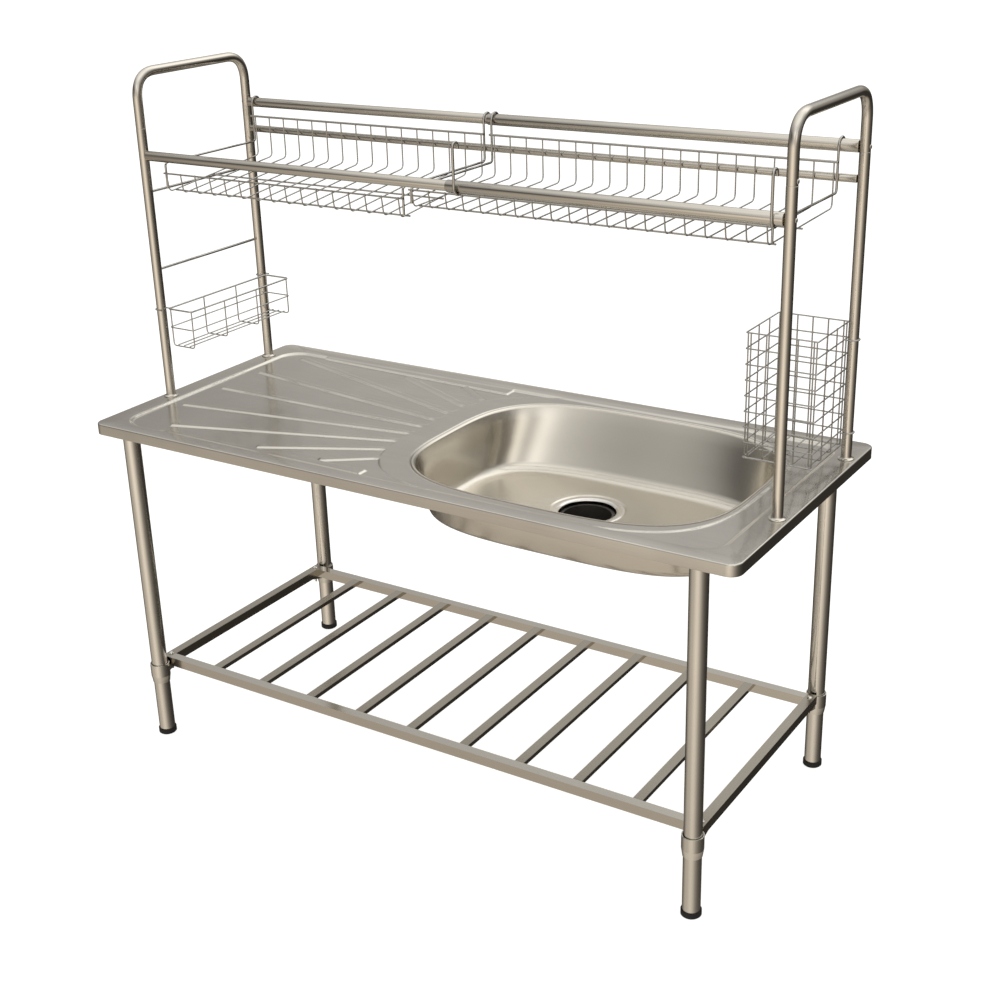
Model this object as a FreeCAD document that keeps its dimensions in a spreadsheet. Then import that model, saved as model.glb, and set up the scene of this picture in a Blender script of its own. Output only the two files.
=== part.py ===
"""Free-standing stainless-steel sink bench with a slatted shelf and a dish rack over the bowl.

Millimetres, X to the right, Y to the back, Z up. The origin is on the floor under the middle of the worktop.
"""
import FreeCAD, Part
import math
import os

import Sketcher
from FreeCAD import Placement, Rotation, Vector

DRIVING_SIZES = {
    # worktop, one pressed sheet
    "bench_length": 1600, "bench_depth": 700, "bench_height": 800, "sheet_gauge": 1.2,
    "top_corner_round": 25, "top_edge_bevel": 3, "skirt_drop": 25,
    "rim_left": 55, "rim_right": 62, "rim_front": 42, "rim_back": 50,
    "recess_round": 50, "recess_drop": 5,
    # drainer ribs, which fan out from one point under the bowl, and the ledges that the outer ones run into
    "fan_offset": 99, "fan_step": 8.45, "fan_turn": -0.3, "rib_gap": 14, "rib_width": 14, "rib_rise": 3,
    "rib_side_margin": 38, "rib_end_margin": 26,
    "ledge_left_gap": 109, "ledge_land_gap": 26, "ledge_narrow": 8, "ledge_wide": 30,
    # bowl
    "bowl_right_gap": 128, "bowl_y": 2, "bowl_length": 716, "bowl_width": 560, "bowl_round": 110,
    "bowl_drop": 145, "bowl_draft": 8, "bowl_floor_round": 45, "lip_round": 10,
    "land_width": 48, "land_rise": 1.5,
    # waste
    "waste_left_shift": 42, "waste_back_shift": 42, "flange_dia": 164, "flange_lip": 2.5,
    "flange_slope": 4, "mouth_slope": 3, "mouth_dia": 122, "strainer_ledge": 4, "rim_inset": 2,
    "waste_hole_dia": 142, "seat_drop": 3, "ledge_depth": 10, "sleeve_reach": 32, "gasket_thick": 2,
    "cup_dia": 150, "cup_wall": 2.5, "cup_reach": 78, "spigot_dia": 40, "spigot_reach": 30,
    "boss_dia": 50, "boss_reach": 6, "strainer_reach": 42, "strainer_wall": 1.6, "strainer_draft": 9,
    "slot_start": 14, "slot_width": 4, "slot_rise": 12, "stem_dia": 10, "stem_rise": 22, "knob_dia": 18,
    "knob_thick": 4, "strainer_rim_width": 6,
    # legs, feet and sockets
    "leg_dia": 38, "leg_wall": 1.2, "leg_side_inset": 88, "leg_end_inset": 29, "socket_reach": 16,
    "socket_plate": 70, "plate_thick": 2, "foot_dia": 43, "foot_sole": 5, "foot_cup": 8,
    "foot_bevel": 2,
    # collars and shelf
    "collar_dia": 46, "collar_drop": 54, "collar_reach": 48, "collar_taper": 17,
    "collar_foot_wall": 1.2, "collar_top_wall": 1.6, "collar_top_bevel": 6, "lug_width": 16, "lug_root": 1.5,
    "lug_reach": 36, "lug_thick": 4, "head_edge": 1.5, "head_shoulder": 4, "head_rise": 5, "bolt_dia": 6,
    "bolt_setback": 18, "bolt_tail": 6, "nut_gap": 12,
    "shelf_top": 196, "rail_side": 22, "rail_wall": 1.2, "slat_width": 22, "slat_thick": 10,
    "slat_wall": 1, "slat_end_gap": 135,
    # rack posts, hoops and rails
    "post_dia": 22, "post_wall": 1, "post_side_inset": 24, "post_front_inset": 232, "post_back_inset": 109,
    "post_reach": 630, "flange_ring_dia": 34, "flange_ring_rise": 4, "post_bolt_dia": 8,
    "plug_reach": 16, "bolt_head_thick": 5, "hoop_rise": 120, "hoop_round": 60, "spigot_length": 25,
    "rail_dia": 22, "wide_rail_dia": 25, "thin_rail_dia": 16, "tube_wall": 1,
    "front_rail_drop": 60, "back_rail_rise": 10, "thin_rail_drop": 62,
    "front_joint_x": 50, "back_joint_x": 80, "joint_overlap": 40,
    "rung_dia": 6, "high_rung_rise": 487, "low_rung_rise": 307,
    "hook_dia": 6, "hook_rise": 88, "near_hook_gap": 25, "far_hook_gap": 29, "hook_curl": 9,
    # wire goods
    "fine_wire": 3, "mid_wire": 4, "strong_wire": 5, "basket_drop": 30, "basket_front_gap": 32,
    "lip_lean": 6, "floor_bend": 10, "front_floor_wire": 26, "middle_floor_wire": 150, "arm_drop": 90,
    "arm_bend": 6, "hook_tail": 8,
    "left_end_gap": 23, "left_inner_end": 90, "left_back_depth": 92, "left_front_depth": 124,
    "left_lip_rise": 44,
    "right_end_gap": 41, "right_inner_end": 60, "right_back_depth": 90, "right_front_depth": 98,
    "right_lip_rise": 38,
    "side_width": 72, "side_length": 350, "side_rise": 214, "side_drop": 89,
    "cutlery_width": 150, "cutlery_depth": 164, "cutlery_overhang": 9, "cutlery_rise": 290,
    "cutlery_drop": 264,
    # running and seating gaps
    "seat_gap": 0.3, "slip_gap": 0.2,
}

SLAT_COUNT = 9
RIB_COUNT = 9
SLOT_COUNT = 8
LEFT_WIRES = 16
RIGHT_WIRES = 20
CUTLERY_RINGS = 9
PRESS_SLOPE = 45
WIRE_SIDES = 6
BOLT_SIDES = 8
HOOP_SIDES = 16
BEND_STEPS = 3
CORNERS = {"front_left": (-1, -1), "front_right": (1, -1), "back_left": (-1, 1), "back_right": (1, 1)}

doc = FreeCAD.newDocument("sink_bench")
sheet = doc.addObject("Spreadsheet::Sheet", "sizes")


class Size:
    """A length or angle that keeps the sheet formula it was worked out from."""

    def __init__(self, value, text):
        self.value = float(value)
        self.text = text

    def _join(self, other, sign, value):
        return Size(value, "(%s %s %s)" % (self.text, sign, other.text))

    def __add__(self, other):
        other = as_size(other)
        return self._join(other, "+", self.value + other.value)

    def __sub__(self, other):
        other = as_size(other)
        return self._join(other, "-", self.value - other.value)

    def __mul__(self, other):
        other = as_size(other)
        return self._join(other, "*", self.value * other.value)

    def __truediv__(self, other):
        other = as_size(other)
        return self._join(other, "/", self.value / other.value)

    def __neg__(self):
        return Size(-self.value, "(0 - %s)" % self.text)

    __radd__ = __add__
    __rmul__ = __mul__

    def __rsub__(self, other):
        return as_size(other) - self


def as_size(number):
    if isinstance(number, Size):
        return number
    return Size(number, "%.9g" % number if number >= 0 else "(0 - %.9g)" % -number)


def cosine(degrees):
    degrees = as_size(degrees)
    return Size(math.cos(math.radians(degrees.value)), "cos(%s * 1deg)" % degrees.text)


def sine(degrees):
    degrees = as_size(degrees)
    return Size(math.sin(math.radians(degrees.value)), "sin(%s * 1deg)" % degrees.text)


def tangent(degrees):
    degrees = as_size(degrees)
    return Size(math.tan(math.radians(degrees.value)), "tan(%s * 1deg)" % degrees.text)


def lesser(one, other):
    return Size(min(one.value, other.value), "min(%s; %s)" % (one.text, other.text))


class Sheet:
    """Gives each named cell of the sheet as a Size, such as S.leg_dia."""

    def __getattr__(self, alias):
        return Size(DRIVING_SIZES[alias], "sizes." + alias)


S = Sheet()


def fill_sheet():
    for row, (alias, value) in enumerate(DRIVING_SIZES.items(), start=1):
        sheet.set("A%d" % row, alias)
        sheet.set("B%d" % row, "%g" % value)
        sheet.setAlias("B%d" % row, alias)
    doc.recompute()


# ---------------------------------------------------------------- drawing and solid helpers

def bind(thing, prop, size):
    thing.setExpression(prop, as_size(size).text)


def put(thing, x=0, y=0, z=0, turn=None):
    """Places an object; the rotation is fixed and the position follows the sheet."""
    if turn is not None:
        thing.Placement = Placement(Vector(), turn)
    for axis, amount in zip("xyz", (x, y, z)):
        bind(thing, "Placement.Base." + axis, amount)
    return thing


ALONG = {"x": Rotation(Vector(0, 1, 0), 90), "y": Rotation(Vector(1, 0, 0), -90), "z": Rotation()}


def rod(name, dia, length, at, along="z"):
    made = doc.addObject("Part::Cylinder", name)
    bind(made, "Radius", dia / 2)
    bind(made, "Height", length)
    return put(made, *at, turn=ALONG[along])


def straight_wire(name, dia, length, at, along="x", sides=WIRE_SIDES):
    """Straight wire, shank or hole with a flat-sided section whose corners lie on the stated diameter."""
    made = doc.addObject("Part::Prism", name)
    made.Polygon = sides
    bind(made, "Circumradius", dia / 2)
    bind(made, "Height", length)
    return put(made, *at, turn=ALONG[along])


def box(name, dims, at):
    made = doc.addObject("Part::Box", name)
    for prop, amount in zip(("Length", "Width", "Height"), dims):
        bind(made, prop, amount)
    return put(made, *at)


def cut(name, base, tool):
    made = doc.addObject("Part::Cut", name)
    made.Base = base
    made.Tool = tool
    return made


def fuse(name, pieces):
    made = doc.addObject("Part::MultiFuse", name)
    made.Shapes = pieces
    return made


def group(name, pieces):
    """Separate solids that share one node."""
    made = doc.addObject("Part::Compound", name)
    made.Links = pieces
    return made


def tube(name, dia, wall, length, at, along="z"):
    outer = rod(name + "_outside", dia, length, at, along)
    bore = rod(name + "_bore", dia - 2 * wall, length, at, along)
    return cut(name, outer, bore)


def new_body(name):
    made = doc.addObject("PartDesign::Body", name)
    made.AllowCompound = True
    return made


def origin_plane(owner, role):
    return next(item for item in owner.Origin.OriginFeatures if item.Role == role)


def sketch(owner, name, role, offset=0):
    made = owner.newObject("Sketcher::SketchObject", name)
    made.AttachmentSupport = [(origin_plane(owner, role), "")]
    made.MapMode = "FlatFace"
    bind(made, "AttachmentOffset.Base.z", offset)
    return made


def pin(made, item, end, x=None, y=None):
    """Fixes one end of a drawn line by its distances from the sketch origin."""
    for kind, axis, amount in (("DistanceX", -2, x), ("DistanceY", -1, y)):
        if amount is None:
            continue
        amount = as_size(amount)
        if abs(amount.value) < 1e-9:
            made.addConstraint(Sketcher.Constraint("PointOnObject", item, end, axis))
        elif amount.value > 0:
            index = made.addConstraint(Sketcher.Constraint(kind, -1, 1, item, end, amount.value))
            bind(made, "Constraints[%d]" % index, amount)
        else:
            index = made.addConstraint(Sketcher.Constraint(kind, item, end, -1, 1, -amount.value))
            bind(made, "Constraints[%d]" % index, -amount)


def as_points(corners):
    return [Vector(as_size(x).value, as_size(y).value, 0) for x, y in corners]


def draw_polygon(made, corners):
    points = as_points(corners)
    count = len(points)
    first = made.GeometryCount
    for index in range(count):
        made.addGeometry(Part.LineSegment(points[index], points[(index + 1) % count]), False)
    for index in range(count):
        following = first + (index + 1) % count
        made.addConstraint(Sketcher.Constraint("Coincident", first + index, 2, following, 1))
    for index, (x, y) in enumerate(corners):
        pin(made, first + index, 1, x, y)


def draw_path(made, corners):
    points = as_points(corners)
    for start, end in zip(points, points[1:]):
        made.addGeometry(Part.LineSegment(start, end), False)
    for index in range(len(points) - 2):
        made.addConstraint(Sketcher.Constraint("Coincident", index, 2, index + 1, 1))
    for index, (x, y) in enumerate(corners[:-1]):
        pin(made, index, 1, x, y)
    pin(made, len(points) - 2, 2, *corners[-1])


def draw_rounded_box(made, x_low, x_high, y_low, y_high, radius):
    """Rectangle with four equal rounded corners, drawn anticlockwise from the bottom side."""
    x0, x1, y0, y1, r = [as_size(s).value for s in (x_low, x_high, y_low, y_high, radius)]
    ends = [
        ((x0 + r, y0), (x1 - r, y0)), ((x1, y0 + r), (x1, y1 - r)),
        ((x1 - r, y1), (x0 + r, y1)), ((x0, y1 - r), (x0, y0 + r)),
    ]
    centres = [(x1 - r, y0 + r), (x1 - r, y1 - r), (x0 + r, y1 - r), (x0 + r, y0 + r)]
    first = made.GeometryCount
    for side, (start, end) in enumerate(ends):
        made.addGeometry(Part.LineSegment(Vector(*start, 0), Vector(*end, 0)), False)
        circle = Part.Circle(Vector(*centres[side], 0), Vector(0, 0, 1), r)
        begin = math.radians(side * 90 - 90)
        made.addGeometry(Part.ArcOfCircle(circle, begin, begin + math.pi / 2), False)
    for side in range(4):
        line, arc, next_line = first + 2 * side, first + 2 * side + 1, first + (2 * side + 2) % 8
        made.addConstraint(Sketcher.Constraint("Tangent", line, 2, arc, 1))
        made.addConstraint(Sketcher.Constraint("Tangent", arc, 2, next_line, 1))
        made.addConstraint(Sketcher.Constraint(("Horizontal", "Vertical")[side % 2], line))
        if side:
            made.addConstraint(Sketcher.Constraint("Equal", first + 1, arc))
    index = made.addConstraint(Sketcher.Constraint("Radius", first + 1, r))
    bind(made, "Constraints[%d]" % index, radius)
    pin(made, first, 1, y=y_low)
    pin(made, first + 2, 1, x=x_high)
    pin(made, first + 4, 1, y=y_high)
    pin(made, first + 6, 1, x=x_low)


def draw_circle(made, x, y, radius):
    x, y, radius = as_size(x), as_size(y), as_size(radius)
    item = made.addGeometry(Part.Circle(Vector(x.value, y.value, 0), Vector(0, 0, 1), radius.value), False)
    index = made.addConstraint(Sketcher.Constraint("Radius", item, radius.value))
    bind(made, "Constraints[%d]" % index, radius)
    pin(made, item, 3, x, y)


def pad(owner, profile, length, draft=0, down=False, both_ways=False):
    made = owner.newObject("PartDesign::Pad", profile.Name + "_pad")
    made.Profile = profile
    made.Reversed = down
    made.Midplane = both_ways
    bind(made, "Length", length)
    if as_size(draft).value:
        bind(made, "TaperAngle", draft)
    profile.Visibility = False
    return made


def pocket(owner, profile, depth, draft=0, up=False):
    made = owner.newObject("PartDesign::Pocket", profile.Name + "_pocket")
    made.Profile = profile
    made.Reversed = up
    bind(made, "Length", depth)
    if as_size(draft).value:
        bind(made, "TaperAngle", draft)
    return made


def bevel(owner, base, edges, reach):
    made = owner.newObject("PartDesign::Chamfer", base.Name + "_bevel")
    made.Base = (base, edges)
    bind(made, "Size", reach)
    return made


def edges_at_height(shape, z):
    """Names of the edges that lie flat at one height."""
    found = []
    for number, edge in enumerate(shape.Edges, start=1):
        flat = edge.BoundBox.ZMax - edge.BoundBox.ZMin < 1e-4
        if flat and abs(edge.BoundBox.ZMin - z) < 1e-4:
            found.append("Edge%d" % number)
    return found


def loft(owner, name, sections):
    """Ruled loft through sketches, first to last."""
    made = owner.newObject("PartDesign::AdditiveLoft", name)
    made.Profile = sections[0]
    made.Sections = sections[1:]
    made.Ruled = True
    return made


def turned(name, profile, at, turn=None):
    """Body of revolution about its own Z axis, from (radius, height) corners."""
    owner = new_body(name)
    outline = sketch(owner, name + "_profile", "XZ_Plane")
    draw_polygon(outline, profile)
    made = owner.newObject("PartDesign::Revolution", name + "_turned")
    made.Profile = outline
    made.ReferenceAxis = (outline, ["V_Axis"])
    made.Angle = 360
    return put(owner, *at, turn=turn)


PLANE_ALONG = {"x": "YZ_Plane", "y": "XZ_Plane", "z": "XY_Plane"}


def plane_offset(along, amount):
    """The XZ plane of an origin faces -Y, so its offset runs the other way."""
    return -as_size(amount) if along == "y" else as_size(amount)


def ring_corners(u, v, dia, sides):
    turns = [360 * (k + 0.5) / sides for k in range(sides)]
    return [(u + dia / 2 * math.cos(math.radians(t)), v + dia / 2 * math.sin(math.radians(t))) for t in turns]


def bent_wire(owner, name, dia, across, offset, corners, sides=WIRE_SIDES, wall=None):
    """Wire or, with a wall, tube of flat-sided section along a path that lies in one plane.

    across is the axis square to that plane, offset the plane's place on it, and corners are the path's points
    in the plane's two other axes, in X, Y, Z order. The first stretch runs along one of those axes.
    """
    path = sketch(owner, name + "_path", PLANE_ALONG[across], plane_offset(across, offset))
    draw_path(path, corners)
    axes = [axis for axis in "xyz" if axis != across]
    start = {across: as_size(offset), axes[0]: as_size(corners[0][0]), axes[1]: as_size(corners[0][1])}
    runs = [abs(as_size(corners[1][k]).value - as_size(corners[0][k]).value) for k in (0, 1)]
    along = axes[0] if runs[0] > runs[1] else axes[1]
    section = sketch(owner, name + "_section", PLANE_ALONG[along], plane_offset(along, start[along]))
    u, v = [start[axis] for axis in "xyz" if axis != along]
    draw_polygon(section, ring_corners(u, v, dia, sides))
    if wall is not None:
        draw_polygon(section, ring_corners(u, v, dia - 2 * wall, sides))
    doc.recompute()
    made = owner.newObject("PartDesign::AdditivePipe", name + "_pipe")
    made.Profile = section
    made.Spine = (path, ["Edge%d" % (k + 1) for k in range(len(corners) - 1)])
    made.Transition = "Right corner"
    return made


def repeat_along(owner, feature, axis, length, count):
    made = owner.newObject("PartDesign::LinearPattern", feature.Name + "_row")
    made.Originals = [feature]
    made.Direction = (origin_plane(owner, PLANE_ALONG[axis]), [""])
    made.Reversed = axis == "y"
    bind(made, "Length", length)
    bind(made, "Occurrences", count)
    owner.Tip = made
    return made


# ---------------------------------------------------------------- worktop and bowl

half_length = S.bench_length / 2
half_depth = S.bench_depth / 2
recess_floor = S.bench_height - S.recess_drop
bowl_x = half_length - S.bowl_right_gap - S.bowl_length / 2
land_top = recess_floor + S.land_rise
recess_left = -half_length + S.rim_left
recess_right = half_length - S.rim_right
recess_front = -half_depth + S.rim_front
recess_back = half_depth - S.rim_back
mouth = {
    "x_low": bowl_x - S.bowl_length / 2, "x_high": bowl_x + S.bowl_length / 2,
    "y_low": S.bowl_y - S.bowl_width / 2, "y_high": S.bowl_y + S.bowl_width / 2,
}


fan_x = bowl_x - S.fan_offset
rib_start = fan_x - (mouth["x_low"] - S.land_width - S.rib_gap)


def grown(outline, by, radius):
    return (outline["x_low"] - by, outline["x_high"] + by, outline["y_low"] - by, outline["y_high"] + by,
            radius + by)


def rib_reach(angle):
    """Distance from the fan's centre to the far end of a rib, short of the recess's edge."""
    sideways = (fan_x - recess_left - S.rib_side_margin) / cosine(angle)
    if angle.value > 1:
        return lesser(sideways, (recess_back - S.rib_end_margin - S.bowl_y) / sine(angle))
    if angle.value < -1:
        return lesser(sideways, (recess_front + S.rib_end_margin - S.bowl_y) / sine(angle))
    return sideways


def draw_rib(made, near, far, half_width):
    """Outline of one rib along the sketch's negative X axis, its corners cut off at both ends."""
    snip = half_width / 2
    upper = [(-near, half_width - snip), (-near - snip, half_width), (-far + snip, half_width),
             (-far, half_width - snip)]
    draw_polygon(made, upper + [(x, -y) for x, y in reversed(upper)])


def ledge_corners(wall_y, toward_bowl, shift):
    """Raised strip along the recess's wall, which widens from the drainer's left to the bowl's land."""
    left = recess_left + S.ledge_left_gap + shift
    right = mouth["x_low"] - S.ledge_land_gap - shift
    buried = wall_y - (S.rib_rise - shift) * toward_bowl
    return [(left, wall_y + (S.ledge_narrow - shift) * toward_bowl),
            (right, wall_y + (S.ledge_wide - shift) * toward_bowl), (right, buried), (left, buried)]


def press_form(name, inset):
    """The worktop's upper skin as a solid block, or with an inset the block under its lower skin."""
    owner = new_body(name)
    slope = as_size(PRESS_SLOPE)
    shift = inset * tangent(slope / 2)
    slab = sketch(owner, name + "_slab", "XY_Plane", S.bench_height - S.skirt_drop - inset)
    draw_rounded_box(slab, -half_length + inset, half_length - inset, -half_depth + inset,
                     half_depth - inset, S.top_corner_round - inset)
    block = pad(owner, slab, S.skirt_drop)
    doc.recompute()
    top_edges = edges_at_height(block.Shape, (S.bench_height - inset).value)
    bevel(owner, block, top_edges, S.top_edge_bevel - shift)
    recess = sketch(owner, name + "_recess", "XY_Plane", S.bench_height - inset)
    draw_rounded_box(recess, recess_left - shift, recess_right + shift, recess_front - shift,
                     recess_back + shift, S.recess_round + shift)
    pocket(owner, recess, S.recess_drop, -slope)
    land = sketch(owner, name + "_land", "XY_Plane", recess_floor - inset)
    draw_rounded_box(land, *grown(mouth, S.land_width - shift, S.bowl_round))
    pad(owner, land, S.land_rise, -slope)
    for number in range(RIB_COUNT):
        angle = S.fan_turn + S.fan_step * ((RIB_COUNT - 1) / 2 - number)
        rib = sketch(owner, "%s_rib_%d" % (name, number + 1), "XY_Plane", recess_floor - inset)
        bind(rib, "AttachmentOffset.Base.x", fan_x)
        bind(rib, "AttachmentOffset.Base.y", S.bowl_y)
        bind(rib, "AttachmentOffset.Rotation.Angle", -angle)
        draw_rib(rib, rib_start / cosine(angle) + shift, rib_reach(angle) - shift, S.rib_width / 2 - shift)
        pad(owner, rib, S.rib_rise, -slope)
    for side, wall_y, toward_bowl in (("back", recess_back, -1), ("front", recess_front, 1)):
        ledge = sketch(owner, "%s_%s_ledge" % (name, side), "XY_Plane", recess_floor - inset)
        draw_polygon(ledge, ledge_corners(wall_y, toward_bowl, shift))
        pad(owner, ledge, S.rib_rise, -slope)
    return owner


post_x = half_length - S.post_side_inset
front_post_y = S.post_front_inset - half_depth
back_post_y = half_depth - S.post_back_inset


def post_places():
    for name, (right, back) in CORNERS.items():
        yield name, post_x * right, (back_post_y if back > 0 else front_post_y)


def make_worktop():
    upper = press_form("worktop_upper_skin", as_size(0))
    opening = sketch(upper, "bowl_opening", "XY_Plane", S.bench_height)
    draw_rounded_box(opening, *grown(mouth, as_size(0), S.bowl_round))
    pocket(upper, opening, S.skirt_drop)
    for name, x, y in post_places():
        hole = sketch(upper, name + "_post_hole", "XY_Plane", S.bench_height)
        draw_circle(hole, x, y, S.post_bolt_dia / 2 + S.slip_gap)
        pocket(upper, hole, S.skirt_drop)
    lower = press_form("worktop_lower_skin", S.sheet_gauge)
    return cut("worktop", upper, lower)


waste_x = bowl_x - S.waste_left_shift
waste_y = S.bowl_y + S.waste_back_shift


def bowl_levels(skin):
    """How far in from the mouth and how high the skin lies: round lip, drafted wall, round floor edge.

    The upper and lower skins share the centres of both rounds, so the sheet keeps its thickness.
    """
    lip_height = land_top - S.lip_round
    lip_radius = S.lip_round - skin
    lip_turn = (90 - S.bowl_draft) / BEND_STEPS
    levels = []
    for step in range(BEND_STEPS + 1):
        angle = lip_turn * step
        levels.append((lip_radius * sine(angle), lip_height + lip_radius * cosine(angle)))
    floor_radius = S.bowl_floor_round + skin
    centre_height = S.bench_height - S.bowl_drop + S.bowl_floor_round
    wall_start = S.lip_round * cosine(S.bowl_draft)
    wall_height = lip_height + S.lip_round * sine(S.bowl_draft)
    centre_in = (wall_start + (wall_height - centre_height) * tangent(S.bowl_draft)
                 + S.bowl_floor_round / cosine(S.bowl_draft))
    floor_turn = (90 - S.bowl_draft) / BEND_STEPS
    for step in range(BEND_STEPS + 1):
        angle = S.bowl_draft + floor_turn * step
        levels.append((centre_in - floor_radius * cosine(angle), centre_height - floor_radius * sine(angle)))
    return levels


def bowl_plug(name, skin):
    """The bowl's inside as a solid plug, or with a skin thickness the plug of its outside."""
    owner = new_body(name)
    levels = bowl_levels(skin)
    if skin.value:
        levels.insert(0, (as_size(0), land_top))
    sections = []
    for number, (inward, height) in enumerate(levels):
        level = sketch(owner, "%s_level_%d" % (name, number + 1), "XY_Plane", height)
        draw_rounded_box(level, *grown(mouth, -inward, S.bowl_round))
        sections.append(level)
    doc.recompute()
    loft(owner, name + "_walls", sections)
    seat = sketch(owner, name + "_seat", "XY_Plane", S.bench_height - S.bowl_drop - skin)
    draw_circle(seat, waste_x, waste_y, S.flange_dia / 2 + S.seat_drop + skin)
    pad(owner, seat, S.seat_drop, down=True)
    return owner


def make_bowl():
    outside = bowl_plug("bowl_outside", S.sheet_gauge)
    inside = bowl_plug("bowl_inside", as_size(0))
    drain = rod("bowl_drain", S.waste_hole_dia, S.bowl_drop,
                (waste_x, waste_y, S.bench_height - S.bowl_drop * 1.5))
    return cut("sink_bowl", outside, fuse("bowl_cavity", [inside, drain]))


# ---------------------------------------------------------------- waste

seat_height = S.bench_height - S.bowl_drop - S.seat_drop
cup_top = seat_height - S.sheet_gauge - S.gasket_thick
sleeve_radius = S.waste_hole_dia / 2 - S.slip_gap * 4
mouth_radius = S.mouth_dia / 2
ledge_height = -S.ledge_depth
waste_at = (waste_x, waste_y, seat_height)


def make_waste_flange():
    """Bright ring with a sloped mouth, a ledge for the strainer and a threaded sleeve."""
    rim = S.flange_dia / 2
    ledge = mouth_radius - S.strainer_ledge
    return turned("waste_flange", [
        (sleeve_radius, 0), (rim, 0), (rim - S.flange_slope, S.flange_lip),
        (sleeve_radius - S.mouth_slope, S.flange_lip), (mouth_radius, ledge_height), (ledge, ledge_height),
        (mouth_radius, -S.sleeve_reach),
        (sleeve_radius, -S.sleeve_reach),
    ], waste_at)


def make_waste_gasket():
    outer = S.flange_dia / 2 - S.rim_inset
    inner = S.waste_hole_dia / 2
    low = -S.sheet_gauge - S.gasket_thick
    return turned("waste_gasket", [
        (inner, low), (outer, low), (outer, -S.sheet_gauge), (inner, -S.sheet_gauge),
    ], waste_at)


def make_waste_cup():
    """Cup with a rim that clamps the gasket, and an outlet spigot at the side towards the back."""
    rim = S.flange_dia / 2 - S.rim_inset
    outer = S.cup_dia / 2
    wall = S.cup_wall
    neck = sleeve_radius + S.slip_gap
    low = -S.cup_reach
    at = (waste_x, waste_y, cup_top)
    body = turned("waste_cup_body", [(0, 0), (rim, 0), (rim, -2 * wall), (outer, low), (0, low)], at)
    cavity = turned("waste_cup_cavity", [(0, 0), (neck, 0), (outer - wall, low + wall), (0, low + wall)], at)
    outlet_at = (waste_x, waste_y, cup_top + low + S.boss_dia / 2)
    boss = rod("waste_boss", S.boss_dia, rim + S.boss_reach, outlet_at, "y")
    reach = rim + S.boss_reach + S.spigot_reach
    spigot = rod("waste_spigot", S.spigot_dia, reach, outlet_at, "y")
    bore = rod("waste_bore", S.spigot_dia - 2 * wall, reach, outlet_at, "y")
    return cut("waste_cup", fuse("waste_cup_outside", [body, boss, spigot]),
               fuse("waste_cup_inside", [cavity, bore]))


def make_strainer():
    """Lift-out basket with a rim, a drafted wall and a finger knob."""
    wall = S.strainer_wall
    top = mouth_radius - S.strainer_rim_width
    rim = mouth_radius - S.slip_gap * 2
    ledge = ledge_height + S.seat_gap
    deep = ledge - S.strainer_reach
    low = top - S.strainer_reach * tangent(S.strainer_draft)
    owner = turned("strainer_basket_shell", [
        (0, deep), (low, deep), (top, ledge), (rim, ledge), (rim, ledge + wall), (top - wall, ledge + wall),
        (low - wall, deep + wall), (0, deep + wall),
    ], waste_at)
    slot = sketch(owner, "strainer_slot", "XZ_Plane", S.slot_start)
    half_slot = S.slot_width / 2
    slot_top = deep + S.slot_rise
    draw_polygon(slot, [(-half_slot, deep - wall), (half_slot, deep - wall), (half_slot, slot_top),
                        (-half_slot, slot_top)])
    first_slot = pocket(owner, slot, top, up=True)
    ring = owner.newObject("PartDesign::PolarPattern", "strainer_slots")
    ring.Originals = [first_slot]
    ring.Axis = (origin_plane(owner, "Z_Axis"), [""])
    ring.Angle = 360
    ring.Occurrences = SLOT_COUNT
    owner.Tip = ring
    base = seat_height + deep + wall / 2
    stem = straight_wire("strainer_stem", S.stem_dia, S.stem_rise, (waste_x, waste_y, base), "z", BOLT_SIDES)
    knob = straight_wire("strainer_knob", S.knob_dia, S.knob_thick,
                         (waste_x, waste_y, base + S.stem_rise - S.knob_thick / 4), "z", HOOP_SIDES)
    return fuse("strainer_basket", [owner, stem, knob])


# ---------------------------------------------------------------- legs, feet, collars and shelf

leg_x = half_length - S.leg_side_inset
leg_y = half_depth - S.leg_end_inset
collar_foot = S.shelf_top - S.collar_drop


def make_leg(name, x, y):
    plate_low = recess_floor - S.sheet_gauge - S.plate_thick
    return tube(name + "_leg", S.leg_dia, S.leg_wall, plate_low - S.foot_sole, (x, y, S.foot_sole))


def make_foot(name, x, y):
    cup = S.foot_dia / 2
    bore = S.leg_dia / 2 + S.slip_gap
    high = S.foot_sole + S.foot_cup
    return turned(name + "_foot", [
        (0, 0), (cup - S.foot_bevel, 0), (cup, S.foot_bevel), (cup, high), (bore, high), (bore, S.foot_sole),
        (0, S.foot_sole),
    ], (x, y, 0))


def make_socket(name, x, y, back):
    """Plate welded under the recess, with a stub that fills the leg's top."""
    plate_low = recess_floor - S.sheet_gauge - S.plate_thick
    side = S.socket_plate
    leg_edge = S.leg_dia / 2
    low_y = y - leg_edge if back < 0 else y + leg_edge - side
    plate = box(name + "_plate", (side, side, S.plate_thick), (x - side / 2, low_y, plate_low))
    stub = rod(name + "_stub", S.leg_dia - 2 * (S.leg_wall + S.slip_gap), S.socket_reach,
               (x, y, plate_low - S.socket_reach))
    return fuse(name + "_leg_socket", [plate, stub])


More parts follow.
